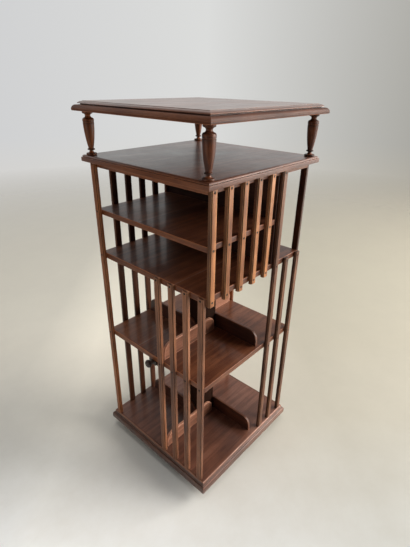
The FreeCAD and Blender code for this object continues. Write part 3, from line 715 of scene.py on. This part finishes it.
# The strips that face left and right get a tone of their own: painted light on the case top,
# painted shade on the base.
for name, shares, width, along_x, along_y, number, slot in (
        ("base_board", base_edge_shares, 0.012, "base_wood_x", "base_wood_y", 0.23, "board_wood"),
        ("case_top", case_top_edge_shares, 0.007, "top_wood_x", "edge_wood", 0.31, "top_wood"),
        ("table_board", table_board_edge_shares, 0.012, "table_wood_x", "table_wood_y", 0.57,
         "top_wood")):
    low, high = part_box(name)
    edge = outline(shares, width, high.z - low.z)
    made = ringed_board(name + "_wood", low, high, edge, 0.0007, number)
    painted(made, (along_x, along_y, "bare_underside"),
            partial(strip_or_middle, strip_starts=high.x - (width + flat_margin)))
    dress(made, None, "case", slot, name)

# %% [markdown]
# ## Mitred frame under the table board
# Four rails are cut at 45 degrees and glued into a frame. Each rail is the moulding's section swept
# along one side, with its ends on the diagonals. A hair of space at each mitre draws the fine joint
# that one sees at the corners of any frame.

# %% Frame rails
frame_edge_shares = [
    (0.86, 0.00), (1.00, 0.00, 1.00, 0.16), (1.00, 0.44), (0.95, 0.48), (0.84, 0.96, 0.32, 1.00),
    (0.00, 1.00)]
rail_width, rail_edge_width, mitre_gap = 0.062, 0.013, 0.00012
first_rail_number, next_rail_number = 0.13, 0.21
low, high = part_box("table_frame_rails")
section = softened(outline(frame_edge_shares, rail_edge_width, high.z - low.z))
section += [(rail_width, high.z - low.z), (rail_width, 0)]
section_wear_and_shade = corner_wear_and_shade(section, True)
points, faces, values, boards = [], [], [], []
for number, turn in enumerate(face_turns.values()):
    faces += closed_stack(len(section), 2, len(points))
    for end in (-1, 1):
        for (inward, height), value in zip(section, section_wear_and_shade):
            reach = high.x - inward
            points.append(
                rotation(turn) @ Vector((end * (reach - mitre_gap), -reach, low.z + height)))
            values.append(value)
            boards.append(first_rail_number + next_rail_number * number)
rails = smooth(mesh_object("table_frame_wood", points, faces, values, boards))
painted(rails, ("frame_wood_x", "frame_wood_y"),
        lambda face: int(abs(face.center.x) > abs(face.center.y)))
dress(rails, None, "case", "top_wood", "table_frame_rails")

# %% [markdown]
# ## Where the slats and their screws go
# On each face the slats stand in an even row, so a row takes few numbers: the left edges of its
# slats, and the heights of foot and head. They are read from the solids once more. Each slat is
# screwed to every board that it passes, and those places are worked out here too.

# %% Rows of slats, each with its face, its finish and its nodes


def numbered(name, count):
    """The names of like nodes, counted from one."""
    return [f"{name}_{k}" for k in range(1, count + 1)]


# Most rows get a lit or shaded copy of the slat tone, as painted light and shade.
rows = {
    "slats_right_upper": ("right", "rubbed_slat_wood", numbered("slat_right_upper", 5)),
    "slat_right_full": ("right", "dulled_slat_wood", ["slat_right_long"]),
    "slats_right_lower": ("right", "dulled_slat_wood", numbered("slat_right_lower", 2)),
    "slats_left_lower": ("left", "worn_slat_wood", numbered("slat_left_lower", 4)),
    "slat_left_corner": ("left", "slat_wood", ["slat_left_corner_long"]),
    "slats_back_left_long": ("back_left", "shaded_slat_wood", numbered("slat_back_left_long", 3)),
    "slats_back_left_upper": ("back_left", "shaded_slat_wood", numbered("slat_back_left_upper", 2)),
    "slats_back_right_low": ("back_right", "slat_wood", ["slats_back_right_lower"]),
    "slat_back_corner": ("back_right", "slat_wood", ["slat_back_corner_long"]),
    "slat_right_corner": ("back_right", "shaded_slat_wood", ["slat_right_corner_upper"]),
}
screwed_boards = "lower_shelf", "middle_shelf", "half_shelf", "upper_board"
screw_shift = 0.0025


def row_numbers(face, nodes):
    """Left edges of a row's slats seen from outside, and its foot and head height."""
    edges = []
    for node in nodes:
        ends = [(rotation(-face_turns[face]) @ corner).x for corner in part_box(node)]
        first, last = min(ends), max(ends) - slat_wide
        edges.append(first)
        if last - first > slat_wide:
            edges += [(first + last) / 2, last]
    foot, head = rise(nodes[0])
    return sorted(edges), max(foot, base_top), head


def screw_places(face, edges, foot, head):
    """Centres of the screw heads on one row of slats, on the face before it is turned."""
    shift = screw_shift if face in ("left", "back_right") else -screw_shift
    places = []
    for board in screwed_boards:
        low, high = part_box(board)
        middle = (low.z + high.z) / 2
        for edge in edges:
            spot = Vector((edge + slat_wide / 2, -shelf_half - slat_thick, middle + shift))
            inside = rotation(face_turns[face]) @ Vector((spot.x, -shelf_half + slat_thick, 0))
            if foot < middle < head and inside.x < high.x:
                places.append(spot)
    return places


for name, (face, finish, nodes) in rows.items():
    edges, foot, head = row_numbers(face, nodes)
    print(name, len(edges), "slats,", len(screw_places(face, edges, foot, head)), "screws")

# %% [markdown]
# ## Bars with one section
# Slats and column boards are bars: one section swept up, with the last rings drawn in a little so
# that the sawn ends are not knife sharp. A slat also has a small step cut into both front arrises,
# and one of its sides is darkened as painted shade. It is made one metre long, with the attribute
# "head" at one on its upper half. The next tree uses that to pull each slat to its own length
# without stretching its ends.

# %% Bars
bar_cut = 0.00045


def bar(name, section, height, end_round=0.0005, painted_shade_side=0.0, board=0.0):
    """A closed bar of one section up to height, with painted shade of the given strength on the
    side at x = 0.
    """
    section = softened(section, bar_cut, True)
    worn = corner_wear_and_shade(section, True)
    middle_x = sum(x for x, y in section) / len(section)
    middle_y = sum(y for x, y in section) / len(section)
    points, values, heads = [], [], []
    levels = [(0, end_round), (end_round, 0), (height - end_round, 0), (height, end_round)]
    for level, inset in levels:
        for (x, y), value in zip(section, worn):
            inward_x = inset if x < middle_x else -inset
            inward_y = inset if y < middle_y else -inset
            points.append((x + inward_x, y + inward_y, level))
            # Painted shade darkens the side at x = 0.
            values.append(-painted_shade_side if x == 0 else value)
            heads.append(1.0 if level > height / 2 else 0.0)
    faces = [face[::-1] for face in closed_stack(len(section), len(levels))]
    made = mesh_object(name, points, faces, values, board)
    mark(made.data, "head", heads)
    shape = bmesh.new()
    shape.from_mesh(made.data)
    outwards(shape)
    shape.to_mesh(made.data)
    shape.free()
    return smooth(made)


slat_step = 0.0025
step_back = slat_step - slat_thick
one_slat = bar("one_slat", [
    (0, 0), (slat_wide, 0), (slat_wide, step_back), (slat_wide - slat_step, step_back),
    (slat_wide - slat_step, -slat_thick), (slat_step, -slat_thick), (slat_step, step_back),
    (0, step_back)], 1.0, painted_shade_side=0.6)
print("one slat has", len(one_slat.data.polygons), "faces")

# %% [markdown]
# ## Helpers for Geometry Nodes
# Geometry Nodes are made for what repeats: one slat, a rule for where the copies go, and the tree
# does the rest. The inputs have names, so that one tree serves every row. The result is turned
# into a plain mesh at once, because an exported model cannot hold the tree itself.

# %% Geometry Nodes helpers


def new_tree(name, inputs):
    """A Geometry Nodes tree with a geometry input and output and further named inputs."""
    tree = bpy.data.node_groups.new(name, "GeometryNodeTree")
    for way in "INPUT", "OUTPUT":
        tree.interface.new_socket("Geometry", in_out=way, socket_type="NodeSocketGeometry")
    for label, kind in inputs.items():
        tree.interface.new_socket(label, in_out="INPUT", socket_type="NodeSocket" + kind)
    return tree, tree.nodes.new("NodeGroupInput").outputs


def baked(made):
    """The object with what its modifiers make as its plain mesh."""
    depsgraph = bpy.context.evaluated_depsgraph_get()
    mesh = bpy.data.meshes.new_from_object(
        made.evaluated_get(depsgraph), preserve_all_data_layers=True, depsgraph=depsgraph)
    made.modifiers.clear()
    made.data = mesh
    mesh.name = made.name
    return made


def grown(name, start, tree, **values):
    """The plain mesh that a tree makes from the start object's mesh; inputs by their names."""
    made = in_scene(name, start.data.copy())
    modifier = made.modifiers.new("grow", "NODES")
    modifier.node_group = tree
    labels = {item.name.lower().replace(" ", "_"): item.identifier
              for item in tree.interface.items_tree if item.in_out == "INPUT"}
    for label, value in values.items():
        modifier[labels[label]] = value
    return baked(made)


def put_away(*tools):
    """Removes objects that only served to make others."""
    for tool in tools:
        bpy.data.objects.remove(tool)


# %% [markdown]
# ## Rows of slats
# The tree stretches the one slat and stands copies of it along a line. It then sinks the
# countersinks for the screws with a boolean, and turns the whole row to its face of the case. The
# grain lies in the space of the whole bookcase, so each slat cuts another piece out of it.

# %% The slat row tree
slat_row, given = new_tree("slat_row", {
    "Count": "Int", "First Edge": "Float", "Pitch": "Float", "Face Distance": "Float",
    "Foot": "Float", "Length": "Float", "Turn": "Float", "Screw Places": "Object",
    "Countersink": "Object", "Material": "Material"})
add, sums = partial(put, slat_row), partial(calc, slat_row)
head_half = add("GeometryNodeInputNamedAttribute", {"Name": "head"}, "Attribute",
                data_type="FLOAT")
longer = sums("MULTIPLY", head_half, sums("SUBTRACT", given["Length"], 1.0))
cut_to_length = add("GeometryNodeSetPosition", {
    "Geometry": given["Geometry"], "Offset": add("ShaderNodeCombineXYZ", {"Z": longer})})
first_place = add("ShaderNodeCombineXYZ", {
    "X": given["First Edge"], "Y": sums("MULTIPLY", given["Face Distance"], -1.0),
    "Z": given["Foot"]})
feet = add("GeometryNodeMeshLine", {
    "Count": given["Count"], "Start Location": first_place,
    "Offset": add("ShaderNodeCombineXYZ", {"X": given["Pitch"]})})
standing = add("GeometryNodeInstanceOnPoints", {"Points": feet, "Instance": cut_to_length})
slats = add("GeometryNodeRealizeInstances", {"Geometry": standing})
places, cutter = (add("GeometryNodeObjectInfo", {"Object": given[label]}, "Geometry")
                  for label in ("Screw Places", "Countersink"))
cutters = add("GeometryNodeInstanceOnPoints", {"Points": places, "Instance": cutter})
solid_cutters = add("GeometryNodeRealizeInstances", {"Geometry": cutters})
sunk = add("GeometryNodeMeshBoolean", {"Mesh 1": slats, "Mesh 2": solid_cutters},
           operation="DIFFERENCE")
on_face = add("GeometryNodeTransform", {
    "Geometry": sunk, "Rotation": add("ShaderNodeCombineXYZ", {"Z": given["Turn"]})})
finished = add("GeometryNodeSetMaterial", {"Geometry": on_face, "Material": given["Material"]})
add("NodeGroupOutput", {0: finished})
print("slat row tree:", len(slat_row.nodes), "nodes")

# %% [markdown]
# ## Copies on places
# A second tree serves everything that is the same all over and only turned to another side: the
# screws, the balusters, the book stops and the column boards. Its start mesh is a handful of
# points. Each point carries its turn about the upright, and screws also get a chance twist about
# their own axis, because nobody lines up the slots of sixty screws. The tree also gives each copy
# its own "board" number. The piece that is copied must not hold one, as it would win.

# %% The copies tree
copies, given = new_tree("copies", {
    "Piece": "Object", "Twist": "Float", "Seed": "Int", "Material": "Material"})
add, sums = partial(put, copies), partial(calc, copies)
turn_there = add("GeometryNodeInputNamedAttribute", {"Name": "turn"}, "Attribute",
                 data_type="FLOAT")
placed = add("GeometryNodeInstanceOnPoints", {
    "Points": given["Geometry"],
    "Instance": add("GeometryNodeObjectInfo", {"Object": given["Piece"]}, "Geometry"),
    "Rotation": add("ShaderNodeCombineXYZ", {"Z": turn_there})})
chance = add("FunctionNodeRandomValue", {
    "Seed": given["Seed"], "ID": add("GeometryNodeInputIndex")}, 1, data_type="FLOAT")
twist = add("ShaderNodeCombineXYZ", {"Y": sums("MULTIPLY", chance, given["Twist"])})
twisted = add("GeometryNodeRotateInstances", {
    "Instances": placed, "Rotation": twist, "Local Space": True})
marked = add("GeometryNodeStoreNamedAttribute", {
    "Geometry": twisted, "Name": "board", "Value": chance}, data_type="FLOAT", domain="INSTANCE")
real = add("GeometryNodeRealizeInstances", {"Geometry": marked})
coated = add("GeometryNodeSetMaterial", {"Geometry": real, "Material": given["Material"]})
add("NodeGroupOutput", {0: coated})
print("copies tree:", len(copies.nodes), "nodes")


def place_points(places):
    """An object of loose points; each place is a point and its turn in degrees."""
    mesh = bpy.data.meshes.new("places")
    mesh.from_pydata([tuple(point) for point, turn in places], [], [])
    mark(mesh, "turn", [math.radians(turn) for point, turn in places])
    return in_scene("places", mesh)


def copied(name, piece, places, seed, finish, slot, *nodes, twist=0.0):
    """Copies of a piece on all its places, dressed as one piece of the case."""
    points = place_points(places)
    made = grown(name, points, copies, piece=piece, twist=twist, seed=seed,
                 material=finishes[finish])
    dress(made, None, "case", slot, *nodes)
    put_away(points)


# %% [markdown]
# ## Countersinks and screws
# A countersunk screw sits in a cone-shaped hole, its flat head a hair below the wood, with one slot
# across it. The cutter is a plain cone. The head is a cone with a box taken out of it, and a fine
# bevel on its rim that catches the light.

# %% Countersink and screw head
head_radius, sink_radius, head_depth, head_below = 0.0033, 0.0036, 0.0026, 0.0002
slot_wide, slot_deep = 0.0009, 0.0010
rim_faces, rim_width, rim_steps = 28, 0.00025, 2
above_face, point_share = 1.4, 0.5


def drawn(name, shape):
    """The object that a finished bmesh makes."""
    mesh = bpy.data.meshes.new(name)
    shape.to_mesh(mesh)
    shape.free()
    return in_scene(name, mesh)


def cone(name, radius, small_radius, top, bottom):
    """A closed cone along Y from its wide end at top to its narrow end at bottom."""
    shape = bmesh.new()
    bmesh.ops.create_cone(shape, cap_ends=True, segments=rim_faces, radius1=radius,
                          radius2=small_radius, depth=abs(bottom - top))
    lie_down = Matrix.Translation((0, (top + bottom) / 2, 0)) @ rotation(-90, "X")
    bmesh.ops.transform(shape, matrix=lie_down, verts=shape.verts)
    outwards(shape)
    return drawn(name, shape)


countersink = cone("countersink", sink_radius * above_face, sink_radius * point_share,
                   -head_depth * 0.5, head_depth)
screw_head = cone("screw_head", head_radius, head_radius * point_share,
                  head_below, head_below + head_depth)
shape = bmesh.new()
bmesh.ops.create_cube(shape, size=1.0)
bmesh.ops.scale(shape, vec=(slot_wide, slot_deep * 2, head_radius * 3), verts=shape.verts)
bmesh.ops.translate(shape, vec=(0, head_below, 0), verts=shape.verts)
slot_box = drawn("slot_box", shape)
rim = screw_head.modifiers.new("rim", "BEVEL")
rim.width, rim.segments = rim_width, rim_steps
rim.limit_method, rim.angle_limit = "ANGLE", math.radians(30)
slotting = screw_head.modifiers.new("slot", "BOOLEAN")
slotting.object, slotting.solver = slot_box, "EXACT"
smooth(baked(screw_head), 30)
put_away(slot_box)
print("one screw head has", len(screw_head.data.polygons), "faces")

# %% [markdown]
# ## The slats and all the screws
# Now each row is grown from the one slat, with its row's finish, most of them lit or shaded copies
# as painted light and shade. The points that its countersinks were cut at are kept, turned to the
# row's face, and carry one screw each.

# %% Slats and screws
all_screws = []
for name, (face, finish, nodes) in rows.items():
    edges, foot, head = row_numbers(face, nodes)
    spots = screw_places(face, edges, foot, head)
    spot_points = place_points([(spot, 0) for spot in spots])
    made = grown(
        name, one_slat, slat_row, count=len(edges), first_edge=edges[0],
        pitch=edges[1] - edges[0] if len(edges) > 1 else 0.0, face_distance=shelf_half,
        foot=foot, length=head - foot, turn=math.radians(face_turns[face]),
        screw_places=spot_points, countersink=countersink, material=finishes[finish])
    dress(made, None, "case", "slat_wood", *nodes)
    put_away(spot_points)
    all_screws += [(rotation(face_turns[face]) @ spot, face_turns[face]) for spot in spots]

copied("slat_screw_heads", screw_head, all_screws, 5, "screw_steel", "screw_steel", "slat_screws",
       twist=math.pi)
put_away(one_slat, countersink, screw_head)

# %% [markdown]
# ## Turned balusters
# A baluster is turned on a lathe: foot, cove, ring, long vase, two incised lines, shoulder, neck
# and cap. The outline holds the same shares as the solid, revolved in many more steps. The fine
# lines and the soft arrises are what makes it read as turned wood and not as a pipe. This outline
# bends the other way than a board's edge, so the rings come out dark and the fine grooves pale.

# %% A lathe helper
turned_wear = 0.6


def lathe(name, shares, radius, length, segments=64, board=0.0):
    """A turned piece standing on the origin. Shares are of the radius and of the length."""
    profile = [(radius - inward, height) for inward, height in outline(shares, radius, length)]
    points, values = [(0, 0, profile[0][1])], [0.0]
    for (distance, height), value in zip(profile, corner_wear_and_shade(profile)):
        for k in range(segments):
            angle = 2 * math.pi * k / segments
            points.append((distance * math.cos(angle), distance * math.sin(angle), height))
            values.append(value * turned_wear)
    top, last = len(points), len(points) - segments
    points.append((0, 0, profile[-1][1]))
    values.append(0.0)
    faces = walls(segments, len(profile), 1)
    for k in range(segments):
        after = (k + 1) % segments
        faces += [(0, 1 + after, 1 + k), (last + k, last + after, top)]
    return smooth(mesh_object(name, points, faces, values, board), 40)


# %% [markdown]
# ## Four balusters
# The four are alike, so one is turned and copied to the corners. Each copy is also given another
# turn about its own axis, so that the same streak of grain doesn't face the front on all of them.

# %% Balusters
baluster_shares = [
    (0.860, 0.000), (0.940, 0.000, 0.940, 0.016), (0.940, 0.030), (0.940, 0.048, 0.820, 0.048),
    (0.610, 0.054), (0.355, 0.054, 0.355, 0.094), (0.355, 0.110), (0.520, 0.114),
    (0.665, 0.114, 0.665, 0.132), (0.665, 0.150, 0.540, 0.150), (0.470, 0.158), (0.480, 0.176),
    (0.965, 0.438, 0.980, 0.742), (0.925, 0.747), (0.925, 0.755), (0.990, 0.760), (1.000, 0.800),
    (1.000, 0.838, 0.760, 0.846), (0.465, 0.856, 0.465, 0.892), (0.465, 0.930, 0.740, 0.938),
    (0.910, 0.940, 0.910, 0.958), (0.910, 0.986), (0.910, 1.000, 0.820, 1.000)]
next_baluster_turn = 37
near_low, near_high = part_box("baluster_near")
baluster_place = -(near_high.x + near_low.x) / 2
one_baluster = lathe("one_baluster", baluster_shares, (near_high.x - near_low.x) / 2,
                     rise("table_frame_rails")[0] - case_top_top, board=None)
corners = [((x * baluster_place, y * baluster_place, case_top_top), next_baluster_turn * k)
           for k, (x, y) in enumerate([(-1, -1), (1, -1), (1, 1), (-1, 1)])]
copied("balusters", one_baluster, corners, 11, "turned_wood", "turned_wood",
       "baluster_near", "baluster_right", "baluster_back", "baluster_left")
put_away(one_baluster)

# %% [markdown]
# ## Columns
# The hollow column in each tier is four boards, each butted against its neighbour. It is one board,
# copied with a quarter turn each. Its section runs anticlockwise, so that its arrises come out
# dark, as grime and as painted shade deep inside the case. Its finish is dark too, as painted
# shade.

# %% Columns
column_half, column_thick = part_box("lower_column")[1].x, 0.010
outer, inner = column_half - column_thick, column_thick - column_half
for node in ("lower_column", "middle_column"):
    floor_level, ceiling = rise(node)
    one_board = bar("one_column_board", [
        (-column_half, -column_half), (outer, -column_half), (outer, inner),
        (-column_half, inner)], ceiling - floor_level, 0.0002, board=None)
    sides = [((0, 0, floor_level), turn) for turn in face_turns.values()]
    copied(node + "_boards", one_board, sides, 21, "column_wood", "inner_wood", node)
    put_away(one_board)

# %% [markdown]
# ## Book stops
# Round the column, four low stops keep the books of one side from sliding into those of the next.
# Their ends are cut to a quarter ellipse and rounded over by hand. Drawing the side view, giving it
# a thickness and bevelling it is the maker's own order of work. The bevel leaves out the edges
# that stand on the shelf, and a strip inset round the large faces keeps the shading flat there.
# Two stops of a tier get a lit tone and the others a dark one, as painted light and shade.

# %% One book stop
stop_low, stop_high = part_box("book_stop_lower_right")
left, right_end, stop_height = stop_low.x, stop_high.x, stop_high.z - stop_low.z
round_length, round_drop, stop_arris, stop_margin, stop_wear = 0.027, 0.034, 0.0009, 0.003, 0.8
least_rounded, above_shelf = math.radians(40), 0.001
side_view = [(left, 0), (left, stop_height - round_drop)]
side_view += quarter(side_view[-1], (left, stop_height), (left + round_length, stop_height))
side_view += [(right_end - round_length, stop_height)]
side_view += quarter(side_view[-1], (right_end, stop_height), (right_end, stop_height - round_drop))
side_view += [(right_end, 0)]
points = [(x, y, z) for y in (stop_low.y, stop_high.y) for x, z in side_view]
one_stop = mesh_object("one_stop", points, closed_stack(len(side_view), 2), board=None)
shape = bmesh.new()
shape.from_mesh(one_stop.data)
outwards(shape)
sharp = [edge for edge in shape.edges if edge.calc_face_angle() > least_rounded
         and max(vert.co.z for vert in edge.verts) > above_shelf]
rounded = bmesh.ops.bevel(
    shape, geom=sharp, offset=stop_arris, segments=3, profile=0.5, affect="EDGES")
large = [face for face in shape.faces if len(face.verts) > 8]
bmesh.ops.inset_individual(shape, faces=large, thickness=stop_margin)
rubbed = shape.verts.layers.float["worn"]
rounded_verts = {vert for face in rounded["faces"] for vert in face.verts}
for vert in shape.verts:
    vert[rubbed] = stop_wear if vert in rounded_verts else 0.0
shape.to_mesh(one_stop.data)
shape.free()
smooth(one_stop)
print("one book stop has", len(one_stop.data.polygons), "faces")

# %% Book stops
levels = {"lower": base_top, "middle": lower_shelf_top}
# The stops along X get the lit tone and the others the dark one, as painted light and shade.
for axis, faces_there in (("x", ("right", "back_left")), ("y", ("back_right", "left"))):
    spots = [((0, 0, level), face_turns[face]) for level in levels.values() for face in faces_there]
    nodes = [f"book_stop_{tier}_{face}" for tier in levels for face in faces_there]
    copied("book_stops_" + axis, one_stop, spots, 31, "stop_wood_" + axis, "inner_wood", *nodes)
put_away(one_stop)

# %% [markdown]
# ## The knob of the slide
# Under the lower shelf's left edge sits a small turned knob. It draws out a bar on two runners. The
# knob is turned on the same lathe as the balusters and then laid down, so that it points outwards.

# %% Knob
knob_shares = [
    (0.620, 0.000), (0.620, 0.080), (0.400, 0.090, 0.400, 0.240), (0.400, 0.420, 0.800, 0.440),
    (1.000, 0.450, 1.000, 0.640), (1.000, 0.880, 0.560, 0.950), (0.300, 1.000, 0.020, 1.000)]
knob_low, knob_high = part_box("slide_knob")
bar_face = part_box("slide_bar")[0].x
knob = lathe("slide_knob_wood", knob_shares, (knob_high.y - knob_low.y) / 2, bar_face - knob_low.x,
             48)
knob_seat = Vector((bar_face, (knob_low.y + knob_high.y) / 2, (knob_low.z + knob_high.z) / 2))
knob.data.transform(Matrix.Translation(knob_seat) @ rotation(-90, "Y"))
dress(knob, finishes["slide_wood"], "slide", "slide_wood", "slide_knob")

# %% [markdown]
# ## Parts that stay as the solids
# The foot, the spindle and the slide's bar and runners are plain pieces of joinery and ironwork,
# mostly out of sight. Their solids already have every face, so they only get their finishes.

# %% Finishes for the solids that stay
kept_solids = {
    "foot_wood_rising": ["foot_bearer_long", "foot_pads"],
    "foot_wood_falling": ["foot_bearer_cross"], "iron_plate": ["pivot_plate", "hub_plate"],
    "screw_steel": ["pivot_plate_screws", "hub_plate_screws"],
    "spindle_steel": ["spindle", "thrust_washer"], "bush_brass": ["head_bush"],
    "column_wood": ["head_block", "slide_stop_peg"],
    "slide_wood": ["slide_bar", "slide_runners"]}
for finish, nodes in kept_solids.items():
    for node in nodes:
        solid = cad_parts[node]
        solid.data.materials.clear()
        solid.data.materials.append(finishes[finish])
print(sum(len(nodes) for nodes in kept_solids.values()), "solids kept, with new finishes")

# %% [markdown]
# ## Floor
# The portrait stands on a pale studio floor, a large disc. Its colour runs from cool on the left to
# warm on the right, and painted light makes it brighter near the camera and a little left of the
# middle and darker towards the back and the right. It turns clear with distance, so it melts into
# the pale world behind it without a line.

# %% Floor
floor_radius, floor_steps = 14.0, 96
melt_starts, melt_ends = 1.4, 5.5
# Colour and painted light from near to far: bright and cool near the camera, darker and warmer at
# the back.
far_colours_and_painted_light = [
    (0.0, (0.86, 0.89, 0.91)), (0.35, (0.78, 0.765, 0.70)), (0.7, (0.72, 0.695, 0.615)),
    (1.0, (0.70, 0.68, 0.60))]
# Painted light across the floor: brightest a little left of the middle, darkest on the right.
painted_side_light = [
    (0.08, (0.90, 0.90, 0.90)), (0.27, (1.12, 1.11, 1.09)), (0.52, (0.95, 0.94, 0.92)),
    (1.0, (0.65, 0.64, 0.60))]
mottle_colour = 0.62, 0.60, 0.54, 1
angles = [2 * math.pi * k / floor_steps for k in range(floor_steps)]
floor_mesh = bpy.data.meshes.new("floor")
floor_mesh.from_pydata(
    [(floor_radius * math.cos(angle), floor_radius * math.sin(angle), 0) for angle in angles],
    [], [tuple(range(floor_steps))])
floor = in_scene("floor", floor_mesh)
floor_material, tree, shader = new_material("pale_floor")
place = put(tree, "ShaderNodeTexCoord", give="Object")
spot = put(tree, "ShaderNodeSeparateXYZ", {0: place}).node.outputs
far = spread(tree, calc(tree, "ADD", spot["X"], spot["Y"]), -0.7, 1.3)
across_for_painted_light = spread(tree, calc(tree, "SUBTRACT", spot["X"], spot["Y"]), -1.3, 0.8)
mottle = noise(tree, place, scale=4.0, detail=8.0, rough=0.7)
mottled = blended(
    tree, spread(tree, mottle, 0.35, 0.68, 0.0, 0.3), ramp(tree, far, far_colours_and_painted_light), mottle_colour)
feed(shader, {
    "Base Color": blended(tree, 1.0, mottled, ramp(tree, across_for_painted_light, painted_side_light), "MULTIPLY"),
    "Roughness": 0.9, "Specular IOR Level": 0.2})
distance = put(tree, "ShaderNodeVectorMath", {0: place}, "Value", operation="LENGTH")
melted = put(tree, "ShaderNodeMixShader", {
    0: spread(tree, distance, melt_starts, melt_ends), 1: shader.outputs[0],
    2: put(tree, "ShaderNodeBsdfTransparent")})
output = next(node for node in tree.nodes if node.type == "OUTPUT_MATERIAL")
feed(output, {"Surface": melted})
floor_mesh.materials.append(floor_material)
floor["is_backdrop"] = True
print("floor", floor_radius, "metres in radius")

# %% [markdown]
# ## World
# The world shows its pale colour to the camera. Reflections see another one, which is dark on the
# near side, so that the polish has something to mirror. The light that it gives is weaker still,
# so that the wood keeps its depth.

# %% World
mirrored_colours = [
    (0.0, (0.05, 0.045, 0.04)), (0.45, (0.10, 0.095, 0.09)), (1.0, (0.70, 0.70, 0.69))]
level_colours = [
    (0.0, (0.62, 0.625, 0.635)), (0.5, (0.71, 0.715, 0.705)), (1.0, (0.36, 0.35, 0.315))]
low_colours = [(0.0, (0.74, 0.69, 0.59)), (0.5, (0.68, 0.64, 0.55)), (1.0, (0.56, 0.49, 0.36))]
soft_colour, soft_strength = (0.93, 0.96, 1.0, 1), 0.16
world = bpy.data.worlds.new("pale_room")
bpy.context.scene.world = world
world.use_nodes = True
tree = world.node_tree
tree.nodes.clear()
rays = put(tree, "ShaderNodeLightPath").node.outputs
way = put(tree, "ShaderNodeSeparateXYZ", {
    0: put(tree, "ShaderNodeTexCoord", give="Generated")}).node.outputs
behind = spread(tree, calc(tree, "ADD", way["X"], way["Y"]), -0.6, 1.1)
across = spread(tree, calc(tree, "SUBTRACT", way["X"], way["Y"]), -0.65, 0.80)
backdrop = blended(tree, spread(tree, way["Z"], -0.12, -0.42),
                   ramp(tree, across, level_colours), ramp(tree, across, low_colours))
seen, given_off, reflected = (
    put(tree, "ShaderNodeBackground", {"Color": colour, "Strength": strength})
    for colour, strength in ((backdrop, 1.0), (soft_colour, soft_strength),
                             (ramp(tree, behind, mirrored_colours), 1.0)))
mirrored = calc(tree, "MAXIMUM", rays["Is Glossy Ray"], rays["Is Transmission Ray"])
both = put(tree, "ShaderNodeMixShader", {0: mirrored, 1: given_off, 2: reflected})
all_three = put(tree, "ShaderNodeMixShader", {0: rays["Is Camera Ray"], 1: both, 2: seen})
put(tree, "ShaderNodeOutputWorld", {"Surface": all_three})
print("world of", len(tree.nodes), "nodes")

# %% [markdown]
# ## Lamps
# The main light is a large window to the right. It stands there as two lamps in one place. One
# gives the light and has no reflection, the other gives only the shine on the polish. One lamp
# could do both, but then the polished tops glare white when one looks from behind. Three weak
# lamps above, behind and to the left keep the shaded sides readable.

# %% Soft lamps
window_place, window_colour = (3.7, -3.5, 2.3), (1.0, 0.94, 0.87)
lamps = (
    ("window_right", window_place, 4.0, 580, window_colour, "glossy"),
    ("window_shine", window_place, 4.0, 1100, window_colour, "diffuse"),
    ("window_above", (0.2, 0.0, 3.6), 2.0, 45, (1.0, 0.99, 0.97), None),
    ("window_behind", (-1.2, 3.2, 2.4), 2.2, 14, (0.97, 0.98, 1.0), None),
    ("window_left", (-3.2, 0.3, 0.9), 1.6, 16, (1.0, 0.90, 0.80), None))
lit_spot = Vector((0, 0, 0.65))

for name, place, size, watts, colour, without in lamps:
    lamp = bpy.data.lights.new(name, "AREA")
    lamp.shape, lamp.size, lamp.energy, lamp.color = "SQUARE", size, watts, colour
    made = in_scene(name, lamp)
    facing = (lit_spot - Vector(place)).to_track_quat("-Z", "Y").to_matrix().to_4x4()
    made.matrix_world = Matrix.Translation(place) @ facing
    made.visible_camera = False
    if without:
        setattr(made, "visible_" + without, False)
print(len(lamps), "lamps")

# %% [markdown]
# ## The size
# The dressed bookcase must stay as large as its solids. Its box is measured here, without the
# floor.

# %% Size of the dressed bookcase
low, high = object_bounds()
